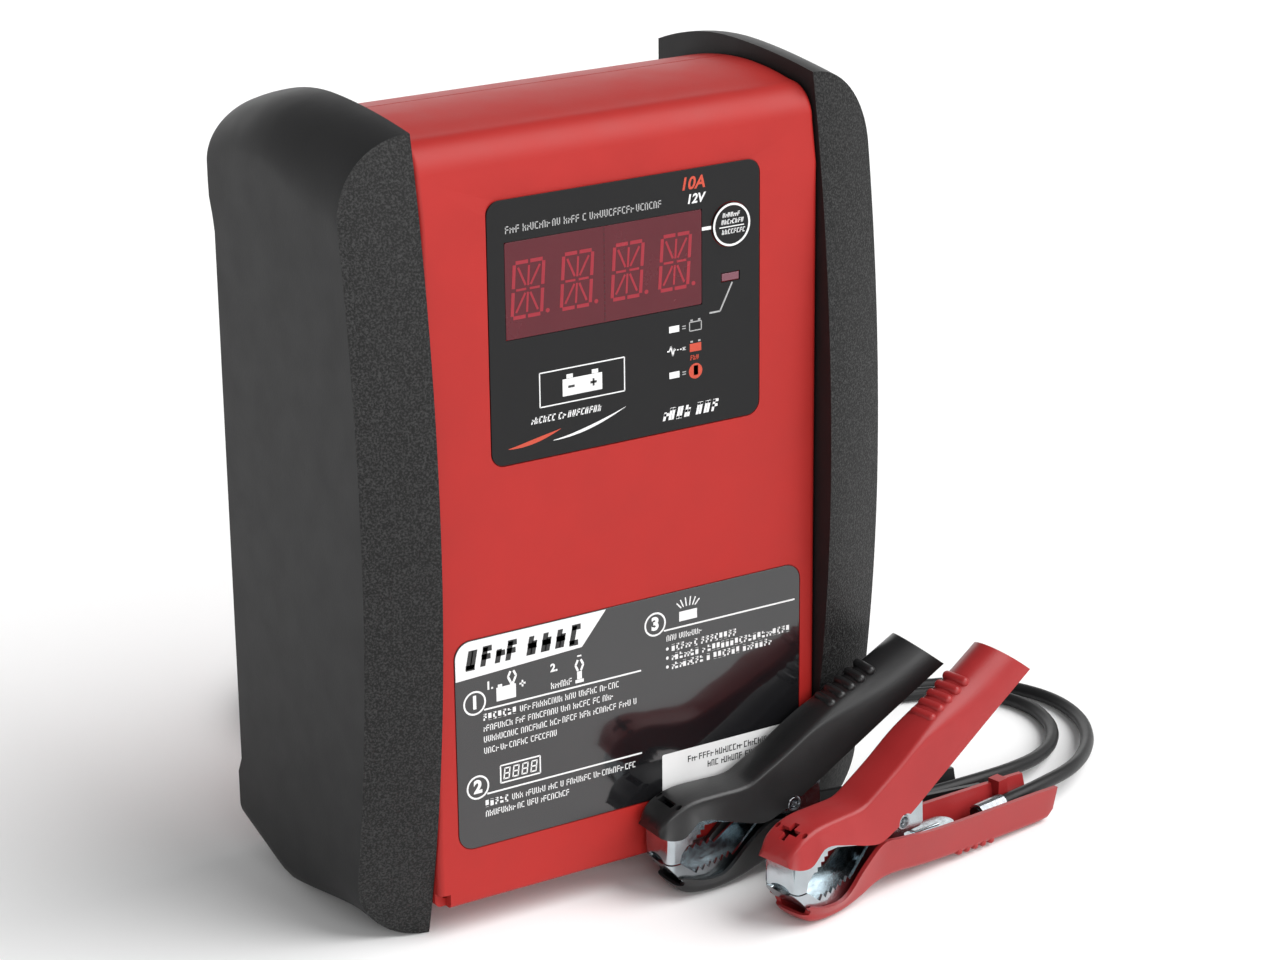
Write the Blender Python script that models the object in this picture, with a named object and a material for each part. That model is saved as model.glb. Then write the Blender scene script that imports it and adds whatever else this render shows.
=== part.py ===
"""A small car battery charger: a red two-part housing between two dark side caps, a display panel with a
selector button, and two leads that end in sprung battery clamps. Metres, +Z up, front facing -Y, origin at
the middle of the surface that the charger stands on."""

import math

import bmesh
import bpy
from mathutils import Matrix, Vector

MM = 0.001
GAP = 0.3 * MM  # left between pieces that touch

# Housing
HOUSING_HALF = 65.5 * MM  # half the width between the side caps
FRONT_Y = -38.8 * MM
SEAM_Y = 6.8 * MM  # parting line between the front shell and the rear cover
BACK_Y = 36.7 * MM
BASE_Z = 9.0 * MM
WALL = 2.5 * MM
POST_X, POST_Z = (-58.0, 58.0), (20.0, 222.0)  # posts that hold the two halves together, in mm
SCREW_HEAD_Y = 16.0 * MM  # depth at which the rear screws' heads seat
VENT_ROWS = 9
VENT_Z, VENT_PITCH, VENT_HEIGHT = 150.0 * MM, 7.0 * MM, 3.0 * MM
VENT_HALF = 34.0 * MM
EDGE_RADIUS = 10.0 * MM  # the rounded edge between the front and the top
EDGE_Y = FRONT_Y + 12.0 * MM
EDGE_Z = BASE_Z + 215.0 * MM
CROWN_Y = FRONT_Y + 34.0 * MM  # highest line of the top
CROWN_Z = BASE_Z + 226.9 * MM
CROWN_RADIUS = 115.0 * MM

# Screws
SCREW_RADIUS, SCREW_HEAD_RADIUS = 1.4 * MM, 2.9 * MM
CAP_SCREW_Y, CAP_SCREW_Z = -16.0, (55.0, 185.0)  # in mm

# Side caps
CAP_WIDTH = 21.5 * MM
LIP_Y = -46.2 * MM  # foremost line of the caps
BOW_Z = 119.0 * MM  # height of that line
BOW_RADIUS_LOW = 495.0 * MM
BOW_RADIUS_HIGH = 650.0 * MM
CHAMFER_DEPTH = 6.3 * MM
CAP_BACK_Y = 43.7 * MM
FOOT_BACK_Y = 46.2 * MM
HEEL_BACK_Y = 45.0 * MM
CAP_CROWN_Y = 3.2 * MM
CAP_TOP_Z = 240.5 * MM
CAP_CAVITY = 17.5 * MM  # depth of the hollow behind the cap's wall

# Display panel, on the front
PANEL_X = (-44.7 * MM, 44.7 * MM)
PANEL_Z = (140.1 * MM, 216.2 * MM)
PANEL_RADIUS = 4.0 * MM
PANEL_RECESS = 0.7 * MM
WINDOW_X = (-39.3 * MM, 25.0 * MM)
WINDOW_Z = (176.2 * MM, 204.0 * MM)
BUTTON_X, BUTTON_Z = 34.9 * MM, 198.2 * MM
BUTTON_RADIUS = 6.4 * MM
STATUS_X, STATUS_Z = 34.8 * MM, 182.8 * MM
LABEL_X = (-58.5 * MM, 59.5 * MM)
LABEL_Z = (26.3 * MM, 90.4 * MM)
LABEL_RADIUS = 5.0 * MM
LABEL_RECESS = 0.5 * MM

# Main circuit board
BOARD_Y = 29.0 * MM
BOARD_THICK = 1.6 * MM
BOARD_X = (-56.0 * MM, 56.0 * MM)
BOARD_Z = (50.0 * MM, 140.0 * MM)

# Clamps, in their own frame: +X from nose to tail, +Z up, +Y to the left of it
CLAMP_PIVOT = Vector((46.8, 0.0, 22.0)) * MM
CLAMPS = {
    "positive": {"nose": Vector((17.8, -85.8, 0.0)) * MM, "turn": math.radians(10.5)},
    "negative": {"nose": Vector((-0.9, -48.0, 0.0)) * MM, "turn": math.radians(-1.0)},
}
HANDLE_WALL = 1.6
JAW_SHEET = 0.9
UPPER_JAW_HALF, LOWER_JAW_HALF = 5.3, 4.1  # half widths: the lower jaw's ears lie inside the upper jaw's
PIVOT_HOLE = 1.75 * MM  # radius

# Output cord
CORD_RADIUS = 3.5 * MM
LEAD_RADIUS = 2.2 * MM
COIL_CENTRE = Vector((12.0, 120.0, 0.0)) * MM
COIL_INNER, COIL_OUTER, COIL_HEIGHT = 29.3 * MM, 50.7 * MM, 14.2 * MM
GLAND_X, GLAND_Z = 35.0 * MM, 30.0 * MM
GLAND_NOSE = 24.0 * MM
GLAND_HOLE = 6.3 * MM  # radius

RED = (0.55, 0.035, 0.03)
BLACK = (0.018, 0.018, 0.019)
CHARCOAL = (0.035, 0.035, 0.037)
ZINC = (0.62, 0.64, 0.66)
COPPER = (0.60, 0.27, 0.12)
BOARD_GREEN = (0.02, 0.13, 0.06)


def clear_scene():
    for obj in list(bpy.data.objects):
        bpy.data.objects.remove(obj, do_unlink=True)


def new_collection(name):
    found = bpy.data.collections.new(name)
    bpy.context.scene.collection.children.link(found)
    return found


def material(name, colour, roughness=0.5, metallic=0.0):
    made = bpy.data.materials.new(name)
    made.use_nodes = True
    shader = made.node_tree.nodes["Principled BSDF"]
    shader.inputs["Base Color"].default_value = (*colour, 1.0)
    shader.inputs["Roughness"].default_value = roughness
    shader.inputs["Metallic"].default_value = metallic
    return made


def finish_object(obj, look):
    if look is None:
        CUTTERS.objects.link(obj)
        obj.hide_render = True
        obj.display_type = "WIRE"
    else:
        PARTS.objects.link(obj)
        obj.data.materials.append(material(obj.name, *look))
    return obj


def object_from(bm, name, look=None, smooth=False):
    """The bmesh as an object: a part with its own material, or a cutter where look is None."""
    if bm.calc_volume(signed=True) < 0:
        bmesh.ops.reverse_faces(bm, faces=bm.faces)
    mesh = bpy.data.meshes.new(name)
    bm.to_mesh(mesh)
    bm.free()
    if smooth:
        mesh.shade_smooth()
        mesh.set_sharp_from_angle(angle=math.radians(35))
    return finish_object(bpy.data.objects.new(name, mesh), look)


def box(name, low, high, look=None):
    bm = bmesh.new()
    bmesh.ops.create_cube(bm, size=1.0)
    low, high = Vector(low), Vector(high)
    bmesh.ops.scale(bm, vec=high - low, verts=bm.verts)
    bmesh.ops.translate(bm, vec=(low + high) / 2, verts=bm.verts)
    return object_from(bm, name, look)


def axis_matrix(start, direction):
    """A frame at start with its Z along direction."""
    turn = Vector(direction).to_track_quat("Z", "Y").to_matrix().to_4x4()
    return Matrix.Translation(start) @ turn


def rod(name, start, direction, length, radius, look=None, tip=None, sides=20):
    """A cylinder, or a cone where tip is another radius, from start along direction."""
    bm = bmesh.new()
    bmesh.ops.create_cone(
        bm, cap_ends=True, segments=sides, radius1=radius,
        radius2=radius if tip is None else tip, depth=length,
    )
    bmesh.ops.translate(bm, vec=(0, 0, length / 2), verts=bm.verts)
    bm.transform(axis_matrix(start, direction))
    return object_from(bm, name, look, smooth=True)


def prism(name, outline, origin, across, up, depth, look=None):
    """A flat outline of (u, v) points, given depth along across x up."""
    across, up = Vector(across), Vector(up)
    normal = across.cross(up)
    bm = bmesh.new()
    verts = [bm.verts.new(Vector(origin) + across * u + up * v) for u, v in outline]
    face = bm.faces.new(verts)
    made = bmesh.ops.extrude_face_region(bm, geom=[face], use_keep_orig=True)
    moved = [item for item in made["geom"] if isinstance(item, bmesh.types.BMVert)]
    bmesh.ops.translate(bm, vec=normal * depth, verts=moved)
    bmesh.ops.recalc_face_normals(bm, faces=bm.faces)
    return object_from(bm, name, look)


def loft(name, rings, look=None, smooth=True):
    """A solid through rings of equally many points, closed by a face at each end."""
    bm = bmesh.new()
    rows = [[bm.verts.new(point) for point in ring] for ring in rings]
    count = len(rows[0])
    for low, high in zip(rows, rows[1:]):
        for i in range(count):
            j = (i + 1) % count
            bm.faces.new((low[i], low[j], high[j], high[i]))
    bm.faces.new(rows[0][::-1])
    bm.faces.new(rows[-1])
    return object_from(bm, name, look, smooth)


def combine(obj, other, operation):
    modifier = obj.modifiers.new(other.name, "BOOLEAN")
    modifier.operation = operation
    modifier.solver = "EXACT"
    modifier.object = other
    return obj


def cut(obj, *cutters):
    for cutter in cutters:
        combine(obj, cutter, "DIFFERENCE")
    return obj


def join(obj, *others):
    for other in others:
        combine(obj, other, "UNION")
    return obj


def place(obj, matrix):
    obj.matrix_world = matrix
    return obj


def rounded_rectangle(xs, zs, radius, steps=6):
    """Outline points of a rectangle with round corners, anticlockwise."""
    corners = [
        (xs[1] - radius, zs[0] + radius, -90), (xs[1] - radius, zs[1] - radius, 0),
        (xs[0] + radius, zs[1] - radius, 90), (xs[0] + radius, zs[0] + radius, 180),
    ]
    points = []
    for x, z, first in corners:
        for step in range(steps + 1):
            angle = math.radians(first + 90 * step / steps)
            points.append((x + radius * math.cos(angle), z + radius * math.sin(angle)))
    return points


def panel(name, xs, zs, radius, front, depth, look=None):
    """A plate with round corners, its front face at y = front, reaching back by depth."""
    outline = rounded_rectangle(xs, zs, radius)
    return prism(name, outline, (0, front + depth, 0), (1, 0, 0), (0, 0, 1), depth, look)


def grown(span, by):
    return span[0] - by, span[1] + by


# ---------------------------------------------------------------- housing


def crown_height(y):
    return CROWN_Z - (y - CROWN_Y) ** 2 / (2 * CROWN_RADIUS)


def front_profile(inset, back):
    """(y, z) outline of the housing's front half, set in by inset and reaching to y = back."""
    radius = EDGE_RADIUS - inset
    points = [(back, BASE_Z + inset), (FRONT_Y + inset, BASE_Z + inset)]
    points.append((FRONT_Y + inset, EDGE_Z - 12 * MM))
    for step in range(7):
        angle = math.radians(180 - 15 * step)
        points.append((EDGE_Y + radius * math.cos(angle), EDGE_Z + radius * math.sin(angle)))
    top = [EDGE_Y + (back - EDGE_Y) * step / 6 for step in range(1, 7)]
    return points + [(y, crown_height(y) - inset) for y in top]


def rear_profile(inset, front):
    """(y, z) outline of the housing's rear half, from y = front to its back wall."""
    back = BACK_Y - inset
    top = [back + (front - back) * step / 5 for step in range(6)]
    points = [(front, BASE_Z + inset), (back, BASE_Z + inset)]
    return points + [(y, crown_height(y) - inset) for y in top]


def across_housing(name, outline, half_width, look=None):
    return prism(name, outline, (-half_width, 0, 0), (0, 1, 0), (0, 0, 1), 2 * half_width, look)


def post_places():
    """(x, z) of the four posts that hold the housing's halves together."""
    return [(x * MM, z * MM) for x in POST_X for z in POST_Z]


def front_shell():
    half = HOUSING_HALF - GAP
    shell = across_housing("front_shell", front_profile(0, SEAM_Y), half, (RED, 0.42))
    cut(shell, across_housing("front_hollow", front_profile(WALL, SEAM_Y + MM), half - WALL))
    for i, (x, z) in enumerate(post_places()):
        depth = SEAM_Y - FRONT_Y - 1.5 * MM
        join(shell, rod(f"front_post_{i}", (x, FRONT_Y + MM, z), (0, 1, 0), depth, 4 * MM, sides=12))
        cut(shell, rod(f"front_post_hole_{i}", (x, -20 * MM, z), (0, 1, 0), 30 * MM, 1.8 * MM, sides=12))
    recess = panel("panel_recess", grown(PANEL_X, GAP), grown(PANEL_Z, GAP), PANEL_RADIUS + GAP,
                   FRONT_Y - MM, MM + PANEL_RECESS)
    label = panel("label_recess", grown(LABEL_X, GAP), grown(LABEL_Z, GAP), LABEL_RADIUS + GAP,
                  FRONT_Y - MM, MM + LABEL_RECESS)
    opening = box("window_opening", (WINDOW_X[0] + 2 * MM, FRONT_Y - MM, WINDOW_Z[0] + 2 * MM),
                  (WINDOW_X[1] - 2 * MM, FRONT_Y + 4 * MM, WINDOW_Z[1] - 2 * MM))
    button = rod("button_hole", (BUTTON_X, FRONT_Y - MM, BUTTON_Z), (0, 1, 0), 5 * MM, 3.4 * MM)
    status = status_box("status_hole", GAP, FRONT_Y - MM, FRONT_Y + 4 * MM)
    return cut(shell, recess, label, opening, button, status, *side_screw_cutters(2.0 * MM, "shell"))


def status_box(name, grow, front, back, look=None):
    low = (STATUS_X - 2.9 * MM - grow, front, STATUS_Z - 1.1 * MM - grow)
    high = (STATUS_X + 2.9 * MM + grow, back, STATUS_Z + 1.1 * MM + grow)
    return box(name, low, high, look)


def side_screw_places():
    """(side, y, z) of the screws that hold the side caps on."""
    return [(side, CAP_SCREW_Y * MM, z * MM) for side in (-1, 1) for z in CAP_SCREW_Z]


def side_screw_cutters(radius, label):
    found = []
    for i, (side, y, z) in enumerate(side_screw_places()):
        start = (side * (HOUSING_HALF - 5 * MM), y, z)
        found.append(rod(f"{label}_screw_way_{i}", start, (side, 0, 0), 8 * MM, radius, sides=12))
    return found


def rear_cover():
    half = HOUSING_HALF - GAP
    front = SEAM_Y + GAP
    cover = across_housing("rear_cover", rear_profile(0, front), half, (RED, 0.42))
    cut(cover, across_housing("rear_hollow", rear_profile(WALL, front - MM), half - WALL))
    for i, (x, z) in enumerate(post_places()):
        depth = BACK_Y - front - MM
        join(cover, rod(f"rear_post_{i}", (x, front, z), (0, 1, 0), depth, 4.6 * MM, sides=12))
        cut(cover,
            rod(f"rear_screw_way_{i}", (x, front - MM, z), (0, 1, 0), 40 * MM, 1.8 * MM, sides=12),
            rod(f"rear_head_way_{i}", (x, SCREW_HEAD_Y, z), (0, 1, 0), 30 * MM, 3.4 * MM, sides=16))
    for i, (x, z) in enumerate(board_post_places()):
        depth = BACK_Y - BOARD_Y - BOARD_THICK - GAP - MM
        start = (x, BOARD_Y + BOARD_THICK + GAP, z)
        join(cover, rod(f"board_post_{i}", start, (0, 1, 0), depth, 3 * MM, sides=12))
    for row in range(VENT_ROWS):
        z = VENT_Z + VENT_PITCH * row
        cut(cover, panel(f"vent_{row}", (-VENT_HALF, VENT_HALF), (z, z + VENT_HEIGHT), 1.4 * MM,
                         BACK_Y - 5 * MM, 8 * MM))
    for x, label in ((GLAND_X, "dc"), (-GLAND_X, "mains")):
        cut(cover, rod(f"{label}_gland_hole", (x, 30 * MM, GLAND_Z), (0, 1, 0), 10 * MM, GLAND_HOLE))
    return cover


def rear_screws():
    length, head_height, seat = 30.2 * MM, 2.4 * MM, SCREW_HEAD_Y + 0.1 * MM
    for i, (x, z) in enumerate(post_places(), 1):
        start = (x, seat + 0.1 * MM - length, z)
        shank = rod(f"rear_cover_screw_{i}", start, (0, 1, 0), length, SCREW_RADIUS, (ZINC, 0.35, 1.0),
                    sides=12)
        head = rod(f"rear_head_{i}", (x, seat, z), (0, 1, 0), head_height, SCREW_HEAD_RADIUS, sides=16)
        cross_way(join(shank, head), (x, seat + head_height, z), (0, 1, 0), f"rear_{i}")


def cross_way(screw, top, outward, label):
    """Cuts a cross recess into a screw's head."""
    frame = axis_matrix(top, outward)
    for i, size in enumerate(((1.8, 0.5), (0.5, 1.8))):
        low = (-size[0] * MM, -size[1] * MM, -1.2 * MM)
        high = (size[0] * MM, size[1] * MM, 1 * MM)
        cut(screw, place(box(f"{label}_cross_{i}", low, high), frame))


def cap_screws():
    for i, (side, y, z) in enumerate(side_screw_places()):
        name = f"{'left' if side < 0 else 'right'}_cap_screw_{i % 2 + 1}"
        wall_inside = HOUSING_HALF - GAP - WALL
        start = (side * wall_inside, y, z)
        shank = rod(name, start, (side, 0, 0), 10 * MM, SCREW_RADIUS, (ZINC, 0.35, 1.0), sides=12)
        head = rod(f"{name}_head", (side * (wall_inside - GAP), y, z), (-side, 0, 0), 2.2 * MM,
                   SCREW_HEAD_RADIUS, sides=16)
        neck = rod(f"{name}_neck", (side * (wall_inside - MM), y, z), (side, 0, 0), 2 * MM, SCREW_RADIUS,
                   sides=12)
        top = (side * (wall_inside - 2.5 * MM), y, z)
        cross_way(join(shank, neck, head), top, (-side, 0, 0), name)


# ---------------------------------------------------------------- side caps


def bow_y(z):
    radius = BOW_RADIUS_LOW if z < BOW_Z else BOW_RADIUS_HIGH
    return LIP_Y + (z - BOW_Z) ** 2 / (2 * radius)


def smooth_step(value, low, high):
    t = min(max((value - low) / (high - low), 0.0), 1.0)
    return t * t * (3 - 2 * t)


def cap_back_y(z):
    foot = (FOOT_BACK_Y - CAP_BACK_Y) * (1 - smooth_step(z, 28 * MM, 31 * MM))
    heel = (HEEL_BACK_Y - CAP_BACK_Y) * smooth_step(z, 196 * MM, 208 * MM)
    return CAP_BACK_Y + foot + heel


def cap_top_z(y):
    drop = 0.6 if y < CAP_CROWN_Y else 0.216
    return CAP_TOP_Z - (y - CAP_CROWN_Y) ** 2 / drop


def cap_bottom_z(y):
    return max(0.0, (y - 12 * MM) * 0.29)


def cap_outline(y):
    """(width, z) points of the cap's outer wall at depth y, from its bottom inner edge to its top one."""
    forward = 1 - smooth_step(y, -30 * MM, 20 * MM)
    low_z, top_z = cap_bottom_z(y), cap_top_z(y)
    low_wide, low_high = (8 + 13 * forward) * MM, (8 + 12 * forward) * MM
    top_high = (17 + 7 * forward) * MM
    points = [(0.0, low_z)]
    for step in range(7):
        angle = math.radians(15 * step)
        points.append((CAP_WIDTH - low_wide * (1 - math.sin(angle)),
                       low_z + low_high * (1 - math.cos(angle))))
    first, last = low_z + low_high, top_z - top_high
    points += [(CAP_WIDTH, first + (last - first) * step / 10) for step in range(1, 11)]
    for step in range(1, 9):
        angle = math.radians(90 * step / 8)
        points.append((CAP_WIDTH * math.cos(angle), last + top_high * math.sin(angle)))
    return points


def cap_front_y(width, z):
    return bow_y(z) + CHAMFER_DEPTH * (width / CAP_WIDTH) ** 1.3


def cap_shape(name, side, look=None):
    """The cap's solid outer form: outlines from front to back, a chamfered bowed front and a flat back."""
    stations = (0.0, 0.12, 0.3, 0.5, 0.7, 0.85, 1.0)
    rows = []
    for share in stations:
        flat = cap_outline(FRONT_Y + (CAP_BACK_Y - FRONT_Y) * share)
        ring = []
        for width, z in flat:
            front, back = cap_front_y(width, z), cap_back_y(z)
            ring.append(Vector((side * (HOUSING_HALF + width), front + (back - front) * share, z)))
        rows.append(ring)
    bm = bmesh.new()
    grid = [[bm.verts.new(point) for point in ring] for ring in rows]
    count = len(grid[0])
    for near, far in zip(grid, grid[1:]):
        for i in range(count - 1):
            bm.faces.new((near[i], near[i + 1], far[i + 1], far[i]))
    near = cap_end(bm, grid[0], side)
    far = cap_end(bm, grid[-1], side)
    bm.faces.new([*near, *[row[-1] for row in grid[1:-1]], *far[::-1], *[row[0] for row in grid[-2:0:-1]]])
    bmesh.ops.remove_doubles(bm, verts=bm.verts, dist=0.01 * MM)
    bmesh.ops.triangulate(bm, faces=[face for face in bm.faces if len(face.verts) > 4])
    bmesh.ops.recalc_face_normals(bm, faces=bm.faces)
    return object_from(bm, name, look, smooth=True)


def cap_end(bm, outer, side):
    """Faces from an end outline to the cap's inner plane. Returns the vertices on that plane, going up."""
    inner, middle = [], []
    plane = side * HOUSING_HALF
    front = outer[0].co.y < 0
    shares = (2 / 3, 1 / 3, 0.0) if front else (0.0,)
    for vert in outer:
        width = abs(vert.co.x - plane)
        z = vert.co.z
        row = []
        for share in shares:
            y = cap_front_y(width * share, z) if front else cap_back_y(z)
            point = Vector((plane + side * width * share, y, z))
            row.append(vert if width < 1e-6 else bm.verts.new(point))
        middle.append(row)
        inner.append(row[-1])
    for i in range(len(outer) - 1):
        low, high = [outer[i], *middle[i]], [outer[i + 1], *middle[i + 1]]
        for k in range(len(shares)):
            corners = list(dict.fromkeys((low[k], low[k + 1], high[k + 1], high[k])))
            if len(corners) > 2:
                bm.faces.new(corners)
    return inner


def side_cap(name, side):
    cap = cap_shape(name, side, (CHARCOAL, 0.6))
    inner, outer = side * (HOUSING_HALF - MM), side * (HOUSING_HALF + CAP_CAVITY)
    low, high = min(inner, outer), max(inner, outer)
    cut(cap, box(f"{name}_hollow", (low, FRONT_Y + 6 * MM, 22 * MM), (high, CAP_BACK_Y - 4 * MM, 214 * MM)))
    for i, (screw_side, y, z) in enumerate(side_screw_places()):
        if screw_side != side:
            continue
        start = (side * HOUSING_HALF, y, z)
        join(cap, rod(f"{name}_boss_{i}", start, (side, 0, 0), CAP_CAVITY + MM, 3.6 * MM, sides=12))
        cut(cap, rod(f"{name}_boss_hole_{i}", (side * (HOUSING_HALF - MM), y, z), (side, 0, 0), 11 * MM,
                     1.7 * MM, sides=12))
    return cap


# ---------------------------------------------------------------- display panel and label


def display_panel():
    front = FRONT_Y - 0.1 * MM
    overlay = panel("display_overlay", PANEL_X, PANEL_Z, PANEL_RADIUS, front, 0.5 * MM, (BLACK, 0.45))
    cut(overlay,
        box("window_cut", (WINDOW_X[0] - GAP, front - MM, WINDOW_Z[0] - GAP),
            (WINDOW_X[1] + GAP, front + 2 * MM, WINDOW_Z[1] + GAP)),
        rod("button_cut", (BUTTON_X, front - MM, BUTTON_Z), (0, 1, 0), 3 * MM, BUTTON_RADIUS + GAP, sides=32),
        status_box("status_cut", GAP, front - MM, front + 2 * MM))
    box("display_window", (WINDOW_X[0], front, WINDOW_Z[0]),
        (WINDOW_X[1], front + 0.5 * MM, WINDOW_Z[1]), ((0.16, 0.01, 0.015), 0.15))
    status_box("status_led_lens", 0, front, FRONT_Y + 10.5 * MM, ((0.35, 0.02, 0.03), 0.2))
    panel("quick_start_label", LABEL_X, LABEL_Z, LABEL_RADIUS, FRONT_Y - 0.1 * MM, 0.3 * MM, (BLACK, 0.2))


def selector():
    front = FRONT_Y - 0.6 * MM
    button = rod("selector_button", (BUTTON_X, front, BUTTON_Z), (0, 1, 0), 0.7 * MM, BUTTON_RADIUS,
                 (BLACK, 0.4), sides=32)
    stem = rod("button_stem", (BUTTON_X, front + 0.4 * MM, BUTTON_Z), (0, 1, 0), 8.6 * MM, 3 * MM)
    join(button, stem)
    plunger_front = front + 9.3 * MM
    rod("switch_plunger", (BUTTON_X, plunger_front, BUTTON_Z), (0, 1, 0), 2.2 * MM, 1.7 * MM,
        (BLACK, 0.5))
    body_front = plunger_front + 1.2 * MM
    body = box("tactile_switch", (BUTTON_X - 3 * MM, body_front, BUTTON_Z - 3 * MM),
               (BUTTON_X + 3 * MM, body_front + 3.2 * MM, BUTTON_Z + 3 * MM), ((0.25, 0.25, 0.26), 0.4, 0.6))
    cut(body, rod("switch_way", (BUTTON_X, body_front - MM, BUTTON_Z), (0, 1, 0), 3 * MM, 2.05 * MM))
    return body_front + 3.2 * MM


def display_electronics(board_front):
    """The two digit modules and their board, which also carries the switch; its face is at board_front."""
    face = board_front + GAP
    box("display_board", (-46 * MM, face, 150 * MM), (46 * MM, face + 1.6 * MM, 212 * MM), (BOARD_GREEN, 0.4))
    middle = (WINDOW_X[0] + WINDOW_X[1]) / 2
    for name, low, high in (("digit_module_left", WINDOW_X[0] + 2.4 * MM, middle - GAP / 2),
                            ("digit_module_right", middle + GAP / 2, WINDOW_X[1] - 2.4 * MM)):
        box(name, (low, FRONT_Y + 1.2 * MM, WINDOW_Z[0] + 2.4 * MM),
            (high, face - GAP, WINDOW_Z[1] - 2.4 * MM), ((0.09, 0.01, 0.012), 0.5))


# ---------------------------------------------------------------- power electronics


def board_post_places():
    return [(x * MM, z * MM) for x in (-50, 50) for z in (56, 134)]


def ridged_block(name, low, high, fins, look):
    """A heat sink: a base plate at the back with upright fins in front of it."""
    base = box(name, (low[0], high[1] - 3 * MM, low[2]), high, look)
    pitch = (high[0] - low[0] - 2 * MM) / (fins - 1)
    for i in range(fins):
        x = low[0] + pitch * i
        join(base, box(f"{name}_fin_{i}", (x, low[1], low[2]), (x + 2 * MM, high[1] - 2 * MM, high[2])))
    return base


def power_electronics():
    box("main_board", (BOARD_X[0], BOARD_Y, BOARD_Z[0]), (BOARD_X[1], BOARD_Y + BOARD_THICK, BOARD_Z[1]),
        (BOARD_GREEN, 0.4))
    front = BOARD_Y - GAP
    core = box("transformer_core", (-19 * MM, front - 30 * MM, 74 * MM), (19 * MM, front, 108 * MM),
               ((0.03, 0.03, 0.035), 0.5))
    cut(core, box("core_window", (-13 * MM, front - 31 * MM, 80 * MM), (13 * MM, front + MM, 102 * MM)))
    rod("transformer_winding", (0, front - 27 * MM, 91 * MM), (0, 1, 0), 24 * MM, 10 * MM,
        (COPPER, 0.35, 0.6), sides=24)
    ridged_block("heat_sink", (26 * MM, front - 28 * MM, 66 * MM), (52 * MM, front - 8 * MM, 124 * MM), 6,
                 ((0.55, 0.56, 0.58), 0.4, 1.0))
    for i, z in enumerate((78, 104), 1):
        box(f"power_transistor_{i}", (34 * MM, front - 7.7 * MM, (z - 5) * MM),
            (44 * MM, front - 3.2 * MM, (z + 9) * MM), (BLACK, 0.5))
    can = (0.02, 0.03, 0.08)
    rod("mains_capacitor", (-38 * MM, front, 74 * MM), (0, -1, 0), 34 * MM, 11 * MM, (can, 0.3), sides=24)
    rod("output_capacitor", (-34 * MM, front, 122 * MM), (0, -1, 0), 22 * MM, 7 * MM, (can, 0.3), sides=20)
    choke = rod("output_choke", (-6 * MM, front, 124 * MM), (0, -1, 0), 11 * MM, 10 * MM, (COPPER, 0.35, 0.6),
                sides=24)
    cut(choke, rod("choke_way", (-6 * MM, front + MM, 124 * MM), (0, -1, 0), 13 * MM, 4.5 * MM))
    rod("mains_fuse", (-52 * MM, front - 4 * MM, 96 * MM), (1, 0, 0), 20 * MM, 2.6 * MM,
        ((0.75, 0.78, 0.80), 0.1), sides=12)


def glands():
    """The grommet of the flat mains cord and the tapered strain relief moulded on the output cord."""
    for x, name in ((-GLAND_X, "mains_cord_gland"), (GLAND_X, "dc_cord_gland")):
        start = BACK_Y + GAP
        flange = rod(name, (x, start, GLAND_Z), (0, 1, 0), 2.5 * MM, 8.5 * MM, (BLACK, 0.6), sides=24)
        join(flange, rod(f"{name}_neck", (x, start - 4.5 * MM, GLAND_Z), (0, 1, 0), 5 * MM, 6 * MM))
        if x > 0:
            join(flange, rod(f"{name}_nose", (x, start + 2 * MM, GLAND_Z), (0, 1, 0), GLAND_NOSE - 2 * MM,
                             6 * MM, tip=4.6 * MM))
        else:
            half_wide, half_high = 3.1 * MM, 1.85 * MM
            cut(flange, box(f"{name}_way", (x - half_wide, start - 8 * MM, GLAND_Z - half_high),
                            (x + half_wide, start + 8 * MM, GLAND_Z + half_high)))


# ---------------------------------------------------------------- clamps

# Stations along the upper handle: x, top height, lower edge height, half width at the top and at the edge
UPPER_STATIONS = (
    (1.0, 25.2, 21.4, 6.2, 7.6), (4.0, 27.2, 20.6, 6.8, 8.4), (8.0, 29.4, 20.8, 7.0, 8.8),
    (13.0, 30.7, 24.9, 7.0, 9.0), (22.0, 30.9, 23.0, 6.8, 9.0), (31.0, 31.2, 20.0, 6.6, 9.0),
    (37.0, 34.1, 19.2, 6.6, 9.0), (46.0, 39.2, 23.8, 6.6, 9.1), (58.0, 46.8, 32.6, 6.7, 9.2),
    (78.0, 57.7, 47.5, 6.8, 9.4), (89.6, 64.0, 56.0, 6.9, 9.6),
)
TAIL_LEAN = 10.9  # how far the upper handle's lower edge runs past its top at the tail
# Stations along the lower handle: x, bottom height, rim height, half width at the bottom and at the rim
LOWER_STATIONS = (
    (6.0, 3.9, 7.6, 6.0, 8.2), (9.0, 1.7, 7.2, 6.8, 8.7), (14.0, 0.5, 5.8, 7.2, 9.0),
    (22.0, 0.5, 6.2, 7.2, 9.0), (30.0, 2.0, 13.2, 6.9, 9.0), (37.5, 4.3, 18.4, 6.6, 9.0),
    (44.0, 4.9, 17.8, 6.6, 9.0), (60.0, 3.2, 15.6, 6.6, 9.0), (85.0, 1.6, 13.8, 6.6, 8.6),
    (106.0, 0.6, 12.4, 6.6, 8.2), (113.0, 0.8, 11.8, 6.5, 8.1), (116.0, 3.2, 11.6, 6.3, 8.0),
)


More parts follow.
